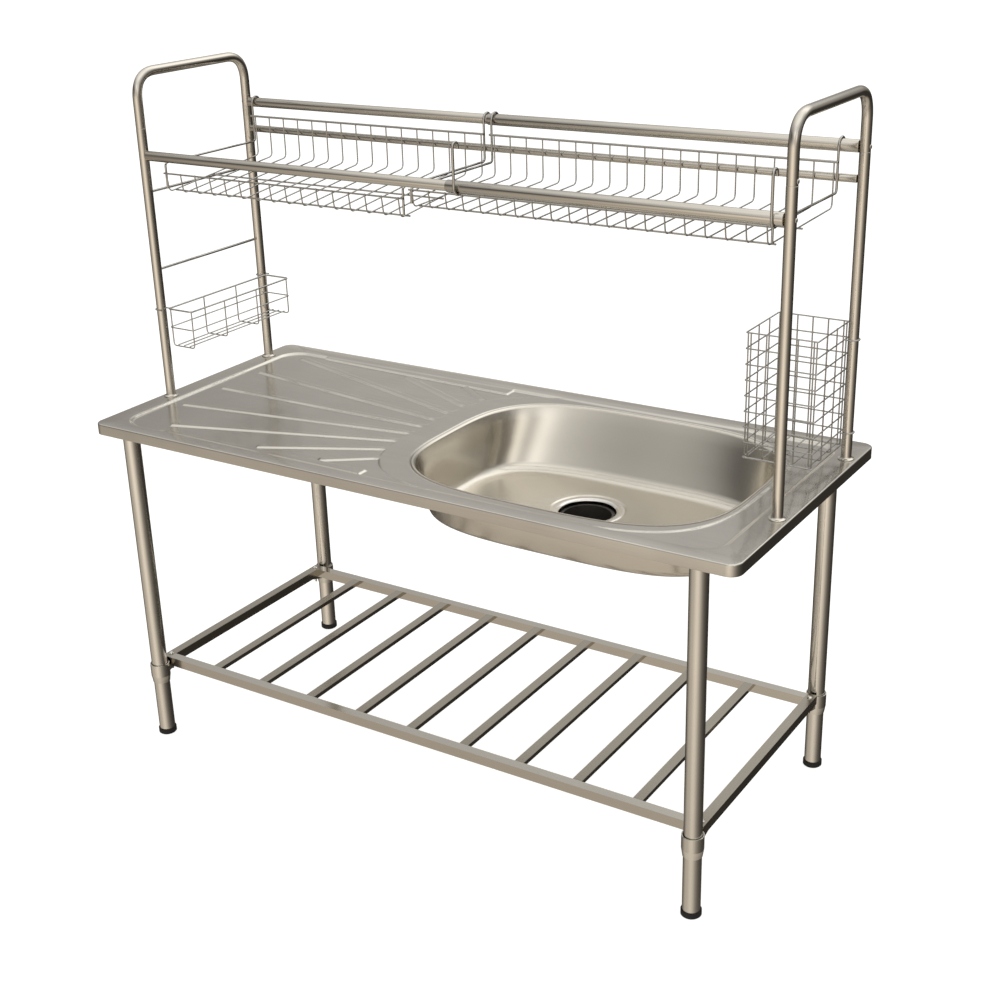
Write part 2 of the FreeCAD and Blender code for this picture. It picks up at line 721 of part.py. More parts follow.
def make_collar(name, x, y, back):
    """Clamp collar: a ring that tapers to the leg, with a ribbed lug under the shelf's side rail."""
    bore = S.leg_dia / 2 + S.slip_gap
    outer = S.collar_dia / 2
    turn = Rotation(Vector(0, 0, 1), 180 if back > 0 else 0)
    owner = turned(name + "_collar", [
        (bore, 0), (bore + S.collar_foot_wall, 0), (outer, S.collar_taper), (outer, S.collar_reach),
        (bore + S.collar_top_wall, S.collar_reach), (bore, S.collar_reach - S.collar_top_bevel),
    ], (x, y, collar_foot), turn)
    lug = sketch(owner, name + "_lug", "YZ_Plane")
    rail_low = S.shelf_top - S.rail_side - collar_foot
    root = bore + S.lug_root
    tip = outer + S.lug_reach
    draw_polygon(lug, [
        (root, S.collar_taper), (tip, rail_low - S.lug_thick), (tip, rail_low), (root, rail_low),
    ])
    pad(owner, lug, S.lug_width, both_ways=True)
    hole = sketch(owner, name + "_bolt_hole", "XY_Plane", rail_low)
    draw_polygon(hole, ring_corners(as_size(0), outer + S.bolt_setback, S.bolt_dia + 2 * S.slip_gap,
                                    BOLT_SIDES))
    owner.Tip = pocket(owner, hole, rail_low)
    return owner


def bolt_y(y, back):
    return y - (S.collar_dia / 2 + S.bolt_setback) * back


def make_collar_bolts():
    """Domed bolts down through the side rails and the lugs, each with its nut."""
    bolts = []
    low = S.shelf_top - S.rail_side - S.nut_gap - S.bolt_tail
    for name, (right, back) in CORNERS.items():
        x, y = leg_x * right, bolt_y(leg_y * back, back)
        label = name + "_collar_bolt"
        shank = straight_wire(label + "_shank", S.bolt_dia, S.shelf_top - low, (x, y, low), "z", BOLT_SIDES)
        head = turned(label + "_head", [
            (0, 0), (S.bolt_dia, 0), (S.bolt_dia, S.head_edge), (S.bolt_dia * 0.6, S.head_shoulder),
            (0, S.head_rise),
        ], (x, y, S.shelf_top))
        bolts.append(fuse(label, [shank, head]))
    return group("collar_bolts", bolts)


side_rail_end = leg_y - S.collar_dia / 2 - 1
cross_rail_y = side_rail_end - S.rail_side / 2
cross_rail_half = leg_x - S.rail_side / 2


def square_tube(name, dims, at, wall, along):
    """Square or flat tube, open at both ends."""
    inner_dims = [d if axis == along else d - 2 * wall for axis, d in zip("xyz", dims)]
    inner_at = [p if axis == along else p + wall for axis, p in zip("xyz", at)]
    outside = box(name + "_outside", dims, at)
    return cut(name, outside, box(name + "_bore", inner_dims, inner_at))


def make_shelf():
    nodes = []
    side = S.rail_side
    low = S.shelf_top - side
    for name, back in (("front", -1), ("back", 1)):
        at = (-cross_rail_half, cross_rail_y * back - side / 2, low)
        nodes.append(square_tube("shelf_%s_rail" % name, (cross_rail_half * 2, side, side), at,
                                 S.rail_wall, "x"))
    for name, right in (("left", -1), ("right", 1)):
        at = (leg_x * right - side / 2, -side_rail_end, low)
        rail = square_tube(name + "_rail_tube", (side, side_rail_end * 2, side), at, S.rail_wall, "y")
        holes = [
            straight_wire("%s_rail_hole_%d" % (name, k), S.bolt_dia + 2 * S.slip_gap, side,
                          (leg_x * right, bolt_y(leg_y * back, back), low), "z", BOLT_SIDES)
            for k, back in ((1, -1), (2, 1))
        ]
        nodes.append(cut("shelf_%s_rail" % name, rail, fuse(name + "_rail_holes", holes)))
    inner_y = cross_rail_y - side / 2
    pitch = (cross_rail_half - S.slat_end_gap) * 2 / (SLAT_COUNT - 1)
    for number in range(SLAT_COUNT):
        x = pitch * (number - (SLAT_COUNT - 1) / 2) - S.slat_width / 2
        at = (x, -inner_y, S.shelf_top - S.slat_thick)
        nodes.append(square_tube("shelf_slat_%d" % (number + 1),
                                 (S.slat_width, inner_y * 2, S.slat_thick), at, S.slat_wall, "y"))
    return nodes


# ---------------------------------------------------------------- rack

def make_post(name, x, y):
    """Tube with a flared foot and a plug inside, which the bolt from under the worktop screws into."""
    outer = S.post_dia / 2
    bore = outer - S.post_wall
    thread = S.post_bolt_dia / 2 + S.slip_gap
    return turned(name + "_post", [
        (thread, 0), (S.flange_ring_dia / 2, 0), (outer, S.flange_ring_rise), (outer, S.post_reach),
        (bore, S.post_reach), (bore, S.plug_reach), (thread, S.plug_reach),
    ], (x, y, S.bench_height))


def make_post_bolts():
    bolts = []
    thick = S.bolt_head_thick
    for name, x, y in post_places():
        low = S.bench_height - S.sheet_gauge - thick
        head = straight_wire(name + "_bolt_head", S.post_bolt_dia * 2, thick, (x, y, low), "z")
        shank = straight_wire(name + "_bolt_shank", S.post_bolt_dia, S.plug_reach + thick, (x, y, low), "z",
                              BOLT_SIDES)
        bolts.append(fuse(name + "_post_bolt", [head, shank]))
    return group("post_bolts", bolts)


post_top = S.bench_height + S.post_reach
front_rail_z = post_top - S.front_rail_drop
back_rail_z = post_top + S.back_rail_rise
thin_rail_z = back_rail_z - S.thin_rail_drop
basket_top = back_rail_z - S.basket_drop
arm_z = back_rail_z - S.arm_drop


def bend_corners(centre, radius, start, end):
    """Chain of points round a bend, its chords outside the arc by as much as inside it."""
    steps = [start + (end - start) * k / BEND_STEPS for k in range(BEND_STEPS + 1)]
    return [(centre[0] + radius * cosine(a), centre[1] + radius * sine(a)) for a in steps]


def make_hoop(name, right):
    """Bent tube over a pair of posts, with reduced ends that plug into them."""
    x = post_x * right
    joint = post_top
    front, back, top, bend = front_post_y, back_post_y, post_top + S.hoop_rise, S.hoop_round
    corners = [(front, joint)]
    corners += bend_corners((front + bend, top - bend), bend, 180, 90)
    corners += bend_corners((back - bend, top - bend), bend, 90, 0)
    corners.append((back, joint))
    owner = new_body(name + "_hoop_tube")
    owner.Tip = bent_wire(owner, name + "_hoop", S.post_dia, "x", x, corners, HOOP_SIDES, S.post_wall)
    bore = S.post_dia - 2 * S.post_wall
    pieces = [owner]
    for label, y in (("front", front), ("back", back)):
        plug = "%s_hoop_%s_plug" % (name, label)
        pieces.append(straight_wire(plug, bore - 2 * S.slip_gap, S.spigot_length * 2,
                                    (x, y, joint - S.spigot_length), "z", HOOP_SIDES))
        pieces.append(straight_wire(plug + "_head", bore + S.post_wall, S.spigot_length, (x, y, joint),
                                    "z", HOOP_SIDES))
    return fuse(name + "_hoop", pieces)


rail_end = post_x - S.post_dia / 2
thin_rail_y = back_post_y - S.rail_dia / 2 + S.thin_rail_dia / 2


def telescoping_rail(name, joint_x, y, z):
    """Two halves: the narrower left one slides into the wider right one."""
    left = tube(name + "_left", S.rail_dia, S.tube_wall, rail_end + joint_x + S.joint_overlap,
                (-rail_end, y, z), "x")
    wide_wall = (S.wide_rail_dia - S.rail_dia) / 2 - S.slip_gap
    right = tube(name + "_right", S.wide_rail_dia, wide_wall, rail_end - joint_x, (joint_x, y, z), "x")
    return [left, right]


def make_rung(name, z):
    start = front_post_y + S.post_dia / 2
    return rod(name, S.rung_dia, back_post_y - S.post_dia / 2 - start, (-post_x, start, z), "y")


def ring_points(y, z, radius, angles):
    """Corners of a chain whose flats keep the stated radius, at the given angles from +Y towards +Z."""
    reach = radius / cosine(22.5)
    return [(y + reach * cosine(a), z + reach * sine(a)) for a in angles]


def make_rail_hook(name, x):
    """Upright hook: wraps under and before the front rail, rises and curls over at the top."""
    owner = new_body(name)
    wrap = S.wide_rail_dia / 2 + S.hook_dia / 2
    y, z = front_post_y, front_rail_z
    front = y - wrap
    top = z + S.hook_rise
    curl = S.hook_curl
    end_y = front + 2 * curl
    corners = [(y + wrap * 0.6, z - wrap)] + ring_points(y, z, wrap, (-112.5, -157.5)) + [
        (front, top - curl), (front + curl * 0.3, top - curl * 0.3), (front + curl, top),
        (end_y - curl * 0.3, top - curl * 0.3), (end_y, top - curl * 1.6),
    ]
    owner.Tip = bent_wire(owner, name, S.hook_dia, "x", x, corners)
    return owner


# ---------------------------------------------------------------- wire baskets

def basket_sections(rail_dia):
    """Where the back plane of a dish basket lies, clear of the rail it hangs on."""
    hook_y = back_post_y - rail_dia / 2 - S.seat_gap - S.strong_wire / 2
    top_y = hook_y - S.strong_wire
    back_y = top_y + S.strong_wire / 2 + S.fine_wire / 2
    return hook_y, top_y, back_y


bracket_gap = S.strong_wire


basket_front = front_post_y + S.basket_front_gap
lip_y = basket_front - S.lip_lean


def dish_basket(name, start, end, wires, rail_dia, back_floor, front_floor, lip):
    """Wires bent as a J, side by side, on straight wires along the top, the floor and the lip."""
    hook_y, top_y, back_y = basket_sections(rail_dia)
    bend = S.floor_bend
    front = basket_front
    slope = (back_floor - front_floor) / (back_y - bend - front)
    inset = S.strong_wire / 2
    owner = new_body(name + "_bent_wires")
    row = bent_wire(owner, name + "_wire", S.fine_wire, "x", start + inset, [
        (back_y, basket_top), (back_y, back_floor + bend), (back_y - bend, back_floor),
        (front, front_floor), (front - bend * 0.4, front_floor + bend / 2), (lip_y, lip),
    ])
    doc.recompute()
    repeat_along(owner, row, "x", end - start - 2 * inset, wires)
    reach = S.strong_wire / 2 + bracket_gap
    first = start - reach
    length = end - start + 2 * reach
    half_fine = S.fine_wire / 2
    pieces = [owner]
    pieces.append(straight_wire(name + "_top_wire", S.strong_wire, length, (first, top_y, basket_top)))
    pieces.append(straight_wire(name + "_lip_wire", S.mid_wire, length,
                                (first, lip_y + half_fine + S.mid_wire / 2, lip - S.fine_wire)))
    for label, y in (("front", front + S.front_floor_wire), ("middle", front + S.middle_floor_wire)):
        z = front_floor + slope * (y - front) - half_fine - S.mid_wire / 2
        pieces.append(straight_wire("%s_%s_floor_wire" % (name, label), S.mid_wire, end - start,
                                    (start, y, z)))
    return group(name, pieces)


def basket_bracket(name, x, rail_dia, arm_low):
    """Hook over the upper back rail, leg down before the lower one and arm forward under the basket rim."""
    hook_y = basket_sections(rail_dia)[0]
    reach = back_post_y - hook_y
    bend = S.arm_bend
    arm_end = lip_y + S.fine_wire / 2 + S.mid_wire + S.strong_wire / 2
    owner = new_body(name)
    corners = [(back_post_y + reach, back_rail_z - S.hook_tail)]
    corners += ring_points(back_post_y, back_rail_z, reach, (22.5, 67.5, 112.5, 157.5))
    corners += [(hook_y, arm_z + bend), (hook_y - bend, arm_z), (arm_end + bend, arm_z),
                (arm_end, arm_z - bend), (arm_end, arm_low)]
    owner.Tip = bent_wire(owner, name, S.strong_wire, "x", x, corners)
    return owner


def make_dish_baskets():
    """Two baskets on the back rails, each between its own pair of brackets."""
    nodes = []
    for side, start, end, wires, rail_dia, back_depth, front_depth, lip_rise in (
            ("left", S.left_end_gap - rail_end, -S.left_inner_end, LEFT_WIRES, S.rail_dia,
             S.left_back_depth, S.left_front_depth, S.left_lip_rise),
            ("right", -S.right_inner_end, rail_end - S.right_end_gap, RIGHT_WIRES, S.wide_rail_dia,
             S.right_back_depth, S.right_front_depth, S.right_lip_rise)):
        front_floor = basket_top - front_depth
        nodes.append(dish_basket("dish_basket_" + side, start, end, wires, rail_dia,
                                 basket_top - back_depth, front_floor, front_floor + lip_rise))
        arm_low = front_floor + S.arm_bend
        nodes.append(group("basket_brackets_" + side, [
            basket_bracket(side + "_first_bracket", start - bracket_gap, rail_dia, arm_low),
            basket_bracket(side + "_second_bracket", end + bracket_gap, rail_dia, arm_low),
        ]))
    return nodes


def wire_ring(name, dia, x_low, x_high, y_low, y_high, z):
    """Rectangular frame of wire, its square section as wide as the wire."""
    half = dia / 2
    outside = box(name + "_outside", (x_high - x_low + dia, y_high - y_low + dia, dia),
                  (x_low - half, y_low - half, z - half))
    inside = box(name + "_inside", (x_high - x_low - dia, y_high - y_low - dia, dia),
                 (x_low + half, y_low + half, z - half))
    return cut(name, outside, inside)


def wire_trough(owner, name, dia, across, offset, low, high, top, floor):
    """Wire bent as a U in an upright plane."""
    corners = [(low, top), (low, floor), (high, floor), (high, top)]
    return bent_wire(owner, name, dia, across, offset, corners)


def post_clip(name, dia, x_wire, x_post, y_post, z):
    """Spring clip: a loop of wire from the basket round the far side of a post."""
    owner = new_body(name)
    radius = S.post_dia / 2 + S.seat_gap + dia / 2
    reach = radius / cosine(22.5)
    outward = 1 if x_post.value > x_wire.value else -1
    corners = [(x_wire, y_post - radius)]
    for angle in (-67.5, -22.5, 22.5, 67.5):
        corners.append((x_post + reach * cosine(angle) * outward, y_post + reach * sine(angle)))
    corners.append((x_wire, y_post + radius))
    owner.Tip = bent_wire(owner, name, dia, "z", z, corners)
    return owner


def make_side_basket():
    wire = S.fine_wire
    x_post = -post_x
    x_low = x_post + S.post_dia / 2 + wire + S.seat_gap
    x_high = x_low + S.side_width
    y_high = back_post_y - wire / 2
    y_low = y_high - S.side_length
    top = S.bench_height + S.side_rise
    floor = top - S.side_drop
    pieces = [
        wire_ring("side_basket_rim", S.mid_wire, x_low, x_high, y_low, y_high, top),
        wire_ring("side_basket_belt", wire, x_low, x_high, y_low, y_high, top - S.side_drop / 2),
    ]
    ends = new_body("side_basket_ends")
    inside = (S.mid_wire + wire) / 2
    trough = wire_trough(ends, "side_basket_end", wire, "y", y_low + inside, x_low + inside,
                         x_high - inside, top, floor)
    doc.recompute()
    repeat_along(ends, trough, "y", S.side_length - 2 * inside, as_size(4))
    pieces.append(ends)
    for number in range(3):
        x = x_low + S.side_width * (number + 1) / 4
        pieces.append(straight_wire("side_basket_floor_wire_%d" % (number + 1), wire,
                                    S.side_length - wire, (x, y_low + wire / 2, floor + wire), "y"))
    clip_x = x_low - S.mid_wire / 2
    for label, y in (("front", front_post_y), ("back", back_post_y)):
        pieces.append(post_clip("side_basket_%s_clip" % label, wire, clip_x, x_post, y, top))
    return group("side_basket", pieces)


def make_cutlery_basket():
    wire = S.fine_wire
    x_high = post_x - S.post_dia / 2 - wire - S.seat_gap
    x_low = x_high - S.cutlery_width
    y_high = back_post_y + S.cutlery_overhang
    y_low = y_high - S.cutlery_depth
    top = S.bench_height + S.cutlery_rise
    floor = top - S.cutlery_drop
    ring_gap = S.cutlery_drop / (CUTLERY_RINGS - 1)
    pieces = []
    for number in range(CUTLERY_RINGS):
        z = top - ring_gap * number
        pieces.append(wire_ring("cutlery_ring_%d" % (number + 1), wire, x_low, x_high, y_low, y_high, z))
    across = new_body("cutlery_cross_wires")
    trough = wire_trough(across, "cutlery_cross", wire, "y", y_low + wire, x_low + wire, x_high - wire,
                         top, floor)
    doc.recompute()
    repeat_along(across, trough, "y", S.cutlery_depth - 2 * wire, as_size(4))
    pieces.append(across)
    along = new_body("cutlery_long_wires")
    trough = wire_trough(along, "cutlery_long", wire, "x", x_low + wire * 3, y_low + wire, y_high - wire,
                         top, floor + wire)
    doc.recompute()
    repeat_along(along, trough, "x", S.cutlery_width - 6 * wire, as_size(5))
    pieces.append(along)
    clip_x = x_high + wire / 2
    for label, z in (("upper", top - ring_gap), ("lower", floor + ring_gap)):
        pieces.append(post_clip("cutlery_%s_clip" % label, wire, clip_x, post_x, back_post_y, z))
    return group("cutlery_basket", pieces)


# ---------------------------------------------------------------- the whole bench

def make_bench():
    nodes = [make_worktop(), make_bowl()]
    nodes += [make_waste_flange(), make_waste_gasket(), make_waste_cup(), make_strainer()]
    feet, sockets, collars = [], [], []
    for name, (right, back) in CORNERS.items():
        x, y = leg_x * right, leg_y * back
        nodes.append(make_leg(name, x, y))
        feet.append(make_foot(name, x, y))
        sockets.append(make_socket(name, x, y, back))
        collars.append(make_collar(name, x, y, back))
    nodes += [group("foot_caps", feet), group("leg_sockets", sockets), group("leg_collars", collars)]
    nodes.append(make_collar_bolts())
    nodes += make_shelf()
    nodes += [make_post(name, x, y) for name, x, y in post_places()]
    nodes += [make_post_bolts(), make_hoop("left", -1), make_hoop("right", 1)]
    nodes += telescoping_rail("front_rail", S.front_joint_x, front_post_y, front_rail_z)
    nodes += telescoping_rail("upper_back_rail", -S.back_joint_x, back_post_y, back_rail_z)
    nodes.append(tube("lower_back_rail", S.thin_rail_dia, S.tube_wall, rail_end * 2,
                      (-rail_end, thin_rail_y, thin_rail_z), "x"))
    nodes.append(make_rung("upper_rung", S.bench_height + S.high_rung_rise))
    nodes.append(make_rung("lower_rung", S.bench_height + S.low_rung_rise))
    hooks = [make_rail_hook("near_rail_hook", S.front_joint_x + S.near_hook_gap),
             make_rail_hook("far_rail_hook", post_x - S.far_hook_gap)]
    nodes.append(group("rail_hooks", hooks))
    nodes += make_dish_baskets()
    nodes += [make_side_basket(), make_cutlery_basket()]
    return nodes


def check_document(nodes):
    for item in doc.Objects:
        if "Invalid" in item.State or "Error" in item.State:
            raise RuntimeError("%s failed: %s" % (item.Name, item.State))
    for node in nodes:
        if node.Shape.isNull() or not node.Shape.isValid() or not node.Shape.Solids:
            raise RuntimeError("%s has no valid solid" % node.Label)


def write_parts(nodes):
    os.makedirs("parts", exist_ok=True)
    for node in nodes:
        node.Shape.exportStep("parts/%s.step" % node.Label)
        print("%-24s %3d solids %12.1f mm3" % (node.Label, len(node.Shape.Solids), node.Shape.Volume))


fill_sheet()
bench = make_bench()
doc.recompute()
check_document(bench)
write_parts(bench)
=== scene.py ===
"""Looks of the free-standing sink bench: smooth pressed steel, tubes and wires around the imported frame.

Metres, in the frame's axes: X to the right, Y to the back, Z up.
"""
import math

import bmesh
import bpy
import numpy as np
from mathutils import Matrix, Vector


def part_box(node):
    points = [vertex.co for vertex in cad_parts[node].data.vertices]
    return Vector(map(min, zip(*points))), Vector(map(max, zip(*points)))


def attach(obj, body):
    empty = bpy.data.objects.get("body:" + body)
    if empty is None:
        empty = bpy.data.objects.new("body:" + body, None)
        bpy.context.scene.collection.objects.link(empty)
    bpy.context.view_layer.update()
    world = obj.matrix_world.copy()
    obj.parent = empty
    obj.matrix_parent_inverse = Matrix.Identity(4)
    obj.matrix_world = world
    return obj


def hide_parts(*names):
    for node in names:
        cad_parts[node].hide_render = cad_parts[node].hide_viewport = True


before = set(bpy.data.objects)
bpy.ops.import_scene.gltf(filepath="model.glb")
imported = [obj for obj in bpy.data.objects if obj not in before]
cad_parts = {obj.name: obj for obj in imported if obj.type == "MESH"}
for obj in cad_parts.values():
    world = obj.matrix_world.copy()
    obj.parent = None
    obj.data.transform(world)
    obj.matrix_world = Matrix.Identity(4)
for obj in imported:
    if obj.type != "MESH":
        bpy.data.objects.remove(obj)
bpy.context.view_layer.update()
MM = 0.001


# ---------------------------------------------------------------- camera, floor and light

CAMERA_AT = Vector((1.8043, -2.6648, 1.9772))
CAMERA_RIGHT = Vector((0.84476, 0.53447, -0.02723))
CAMERA_UP = Vector((-0.18421, 0.33818, 0.92288))
CAMERA_LENS = 55.97
SENSOR = 36

# Soft patches of the studio surround: direction, spread and strength of each.
LOW_PATCHES = (((0.45, 0.82, -0.35), 5, -0.035), ((-0.75, -0.43, -0.50), 9, 0.35))
HIGH_PATCHES = (((0.80, -0.57, 0.22), 40, 0.75), ((0.28, -0.88, 0.38), 45, 0.75),
                ((-0.64, -0.69, 0.34), 9, -0.26), ((0.05, 0.70, 0.71), 18, 0.65),
                ((0.40, 0.75, 0.53), 36, 0.75), ((-0.55, 0.82, 0.10), 45, 0.9))
FRONT = {"direction": (0.174, -0.985, 0), "spread": 3.2, "reach": 0.925, "low": 0.98, "high": 0.35}
LOW_LEVEL, HIGH_LEVEL = 0.07, 0.27

# Its ramps run between two heights of the direction: -1 is straight down and 1 straight up.
FLOOR_RAMP, FLOOR_STRENGTH = (-0.55, -0.88), 0.45
UPPER_RAMP, UPPER_STRENGTH = (0.26, 0.52), 0.38
OVERHEAD_RAMP, OVERHEAD_STRENGTH, OVERHEAD_TO_RIGHT = (0.5, 0.95), 0.6, 0.35
LEVEL_RAMP, TINT_RAMP = (-0.12, 0.16), (-0.2, 0.5)
LOW_TINT, HIGH_TINT = (1.0, 0.90, 0.77, 1), (1.0, 0.99, 0.96, 1)


def make_camera():
    data = bpy.data.cameras.new("camera")
    data.lens = CAMERA_LENS
    data.sensor_width = SENSOR
    data.sensor_fit = "HORIZONTAL"
    data.clip_end = 200
    camera = bpy.data.objects.new("camera", data)
    backward = CAMERA_RIGHT.cross(CAMERA_UP)
    turn = Matrix((CAMERA_RIGHT, CAMERA_UP, backward)).transposed().to_4x4()
    camera.matrix_world = Matrix.Translation(CAMERA_AT) @ turn
    bpy.context.collection.objects.link(camera)
    bpy.context.scene.camera = camera


def area_light(name, at, toward, width, height, power, colour):
    data = bpy.data.lights.new(name, "AREA")
    data.shape = "RECTANGLE"
    data.size = width
    data.size_y = height
    data.energy = power
    data.color = colour
    light = bpy.data.objects.new(name, data)
    light.location = at
    light.rotation_euler = (Vector(toward) - Vector(at)).to_track_quat("-Z", "Y").to_euler()
    light.visible_camera = False
    light.visible_glossy = False
    bpy.context.collection.objects.link(light)


def make_world():
    """Studio surround for the steel to mirror: bright overhead, lit in front, warm and dim below."""
    world = bpy.data.worlds.new("studio")
    world.use_nodes = True
    nodes, links = world.node_tree.nodes, world.node_tree.links
    shader = nodes["Background"]
    place = nodes.new("ShaderNodeTexCoord")
    split = nodes.new("ShaderNodeSeparateXYZ")
    links.new(place.outputs["Generated"], split.inputs[0])

    def maths(operation, one, other=None):
        node = nodes.new("ShaderNodeMath")
        node.operation = operation
        for socket, value in zip(node.inputs, (one, other)):
            if value is None:
                continue
            if isinstance(value, (int, float)):
                socket.default_value = value
            else:
                links.new(value, socket)
        return node.outputs[0]

    def plus(one, other):
        return maths("ADD", one, other)

    def times(one, other):
        return maths("MULTIPLY", one, other)

    def lobe(direction, spread, reach=1):
        """Soft patch about a direction: 1 where the cosine to it is the reach."""
        turned = nodes.new("ShaderNodeVectorMath")
        turned.operation = "DOT_PRODUCT"
        turned.inputs[1].default_value = direction
        links.new(place.outputs["Generated"], turned.inputs[0])
        return maths("EXPONENT", times(maths("SUBTRACT", turned.outputs["Value"], reach), spread))

    def ramp(low, high):
        """0 to 1 between two heights of the direction."""
        node = nodes.new("ShaderNodeMapRange")
        node.interpolation_type = "SMOOTHSTEP"
        node.inputs["From Min"].default_value = low
        node.inputs["From Max"].default_value = high
        links.new(split.outputs["Z"], node.inputs["Value"])
        return node.outputs[0]

    front = lobe(FRONT["direction"], FRONT["spread"], FRONT["reach"])
    low = plus(times(front, FRONT["low"]), LOW_LEVEL)
    for direction, spread, strength in LOW_PATCHES:
        low = plus(low, times(lobe(direction, spread), strength))
    low = plus(low, times(ramp(*FLOOR_RAMP), FLOOR_STRENGTH))
    overhead = plus(times(split.outputs["X"], OVERHEAD_TO_RIGHT), OVERHEAD_STRENGTH)
    above = plus(times(ramp(*UPPER_RAMP), UPPER_STRENGTH), times(ramp(*OVERHEAD_RAMP), overhead))
    high = plus(plus(above, times(front, FRONT["high"])), HIGH_LEVEL)
    for direction, spread, strength in HIGH_PATCHES:
        high = plus(high, times(lobe(direction, spread), strength))
    level = nodes.new("ShaderNodeMix")
    links.new(ramp(*LEVEL_RAMP), level.inputs["Factor"])
    links.new(low, level.inputs["A"])
    links.new(high, level.inputs["B"])
    tint = nodes.new("ShaderNodeMix")
    tint.data_type = "RGBA"
    tint.inputs["A"].default_value = LOW_TINT
    tint.inputs["B"].default_value = HIGH_TINT
    links.new(ramp(*TINT_RAMP), tint.inputs["Factor"])
    links.new(tint.outputs["Result"], shader.inputs["Color"])
    links.new(level.outputs["Result"], shader.inputs["Strength"])
    bpy.context.scene.world = world


FLOOR_SIZE = 60


def make_floor():
    """Plain pale floor, out of the steel's reflections."""
    mesh = bpy.data.meshes.new("floor")
    half = FLOOR_SIZE / 2
    corners = [(-half, -half, 0), (half, -half, 0), (half, half, 0), (-half, half, 0)]
    mesh.from_pydata(corners, [], [(0, 1, 2, 3)])
    floor = bpy.data.objects.new("floor", mesh)
    bpy.context.collection.objects.link(floor)
    paper, _, _, shader = new_material("floor_paper")
    shader.inputs["Base Color"].default_value = (0.30, 0.30, 0.30, 1)
    shader.inputs["Roughness"].default_value = 1.0
    shader.inputs["Specular IOR Level"].default_value = 0.0
    shader.inputs["Emission Color"].default_value = (1, 1, 0.99, 1)
    shader.inputs["Emission Strength"].default_value = 0.86
    mesh.materials.append(paper)
    floor.visible_glossy = False


def make_lights():
    area_light("overhead", at=(0.2, -0.4, 4.2), toward=(0.1, 0, 0.8), width=3.0, height=2.2, power=25,
               colour=(1, 1, 1))
    area_light("front_left", at=(-2.4, -3.6, 2.6), toward=(0, 0, 0.7), width=2.0, height=2.0, power=18,
               colour=(1.0, 0.97, 0.92))


# ---------------------------------------------------------------- materials

def new_material(name):
    made = bpy.data.materials.new(name)
    made.use_nodes = True
    nodes, links = made.node_tree.nodes, made.node_tree.links
    return made, nodes, links, nodes["Principled BSDF"]


def add_noise(nodes, links, place, scale, detail):
    node = nodes.new("ShaderNodeTexNoise")
    node.inputs["Scale"].default_value = scale
    node.inputs["Detail"].default_value = detail
    links.new(place, node.inputs["Vector"])
    return node


def add_range(nodes, links, source, middle, share):
    """Spreads a 0 to 1 value over a share of the middle to either side of it."""
    node = nodes.new("ShaderNodeMapRange")
    node.inputs["To Min"].default_value = middle * (1 - share)
    node.inputs["To Max"].default_value = middle * (1 + share)
    links.new(source, node.inputs["Value"])
    return node.outputs[0]


def add_relief(nodes, links, shader, height, strength, depth):
    relief = nodes.new("ShaderNodeBump")
    relief.inputs["Strength"].default_value = strength
    relief.inputs["Distance"].default_value = depth
    links.new(height, relief.inputs["Height"])
    links.new(relief.outputs[0], shader.inputs["Normal"])


STREAK_DETAIL, STREAK_ROUGHNESS, STREAK_DEPTH = 5, 0.65, 0.4 * MM
CLOUD_SCALE, CLOUD_DETAIL = 7, 2


def steel(name, colour, roughness, stretch, bump, grain=0.35, cloud=0.08):
    """Brushed steel: streaks stretched along one axis in its roughness, tone and relief, and soft clouds."""
    made, nodes, links, shader = new_material(name)
    shader.inputs["Metallic"].default_value = 1.0
    place = nodes.new("ShaderNodeTexCoord").outputs["Object"]
    scaled = nodes.new("ShaderNodeMapping")
    scaled.inputs["Scale"].default_value = stretch
    links.new(place, scaled.inputs["Vector"])
    streaks = add_noise(nodes, links, scaled.outputs[0], 1, STREAK_DETAIL)
    streaks.inputs["Roughness"].default_value = STREAK_ROUGHNESS
    clouds = add_noise(nodes, links, place, CLOUD_SCALE, CLOUD_DETAIL)
    links.new(add_range(nodes, links, streaks.outputs["Fac"], roughness, grain), shader.inputs["Roughness"])

    both = nodes.new("ShaderNodeMath")
    both.operation = "MULTIPLY"
    for socket, texture in zip(both.inputs, (clouds, streaks)):
        links.new(add_range(nodes, links, texture.outputs["Fac"], 1, cloud), socket)
    tint = nodes.new("ShaderNodeVectorMath")
    tint.operation = "SCALE"
    tint.inputs[0].default_value = colour
    links.new(both.outputs[0], tint.inputs["Scale"])
    links.new(tint.outputs[0], shader.inputs["Base Color"])
    add_relief(nodes, links, shader, streaks.outputs["Fac"], bump, STREAK_DEPTH)
    return made


GRAIN_SCALE, GRAIN_DETAIL, GRAIN_BUMP, GRAIN_DEPTH = 900, 3, 0.3, 0.2 * MM


def plastic(name, colour, roughness, specular=0.5):
    """Moulded plastic with a fine grain in its tone and relief."""
    made, nodes, links, shader = new_material(name)
    shader.inputs["Roughness"].default_value = roughness
    shader.inputs["Specular IOR Level"].default_value = specular
    place = nodes.new("ShaderNodeTexCoord").outputs["Object"]
    grain = add_noise(nodes, links, place, GRAIN_SCALE, GRAIN_DETAIL)
    tone = nodes.new("ShaderNodeMix")
    tone.data_type = "RGBA"
    tone.inputs["A"].default_value = (*colour, 1)
    tone.inputs["B"].default_value = (*[min(1, c * 1.8 + 0.01) for c in colour], 1)
    links.new(grain.outputs["Fac"], tone.inputs["Factor"])
    links.new(tone.outputs["Result"], shader.inputs["Base Color"])
    add_relief(nodes, links, shader, grain.outputs["Fac"], GRAIN_BUMP, GRAIN_DEPTH)
    return made


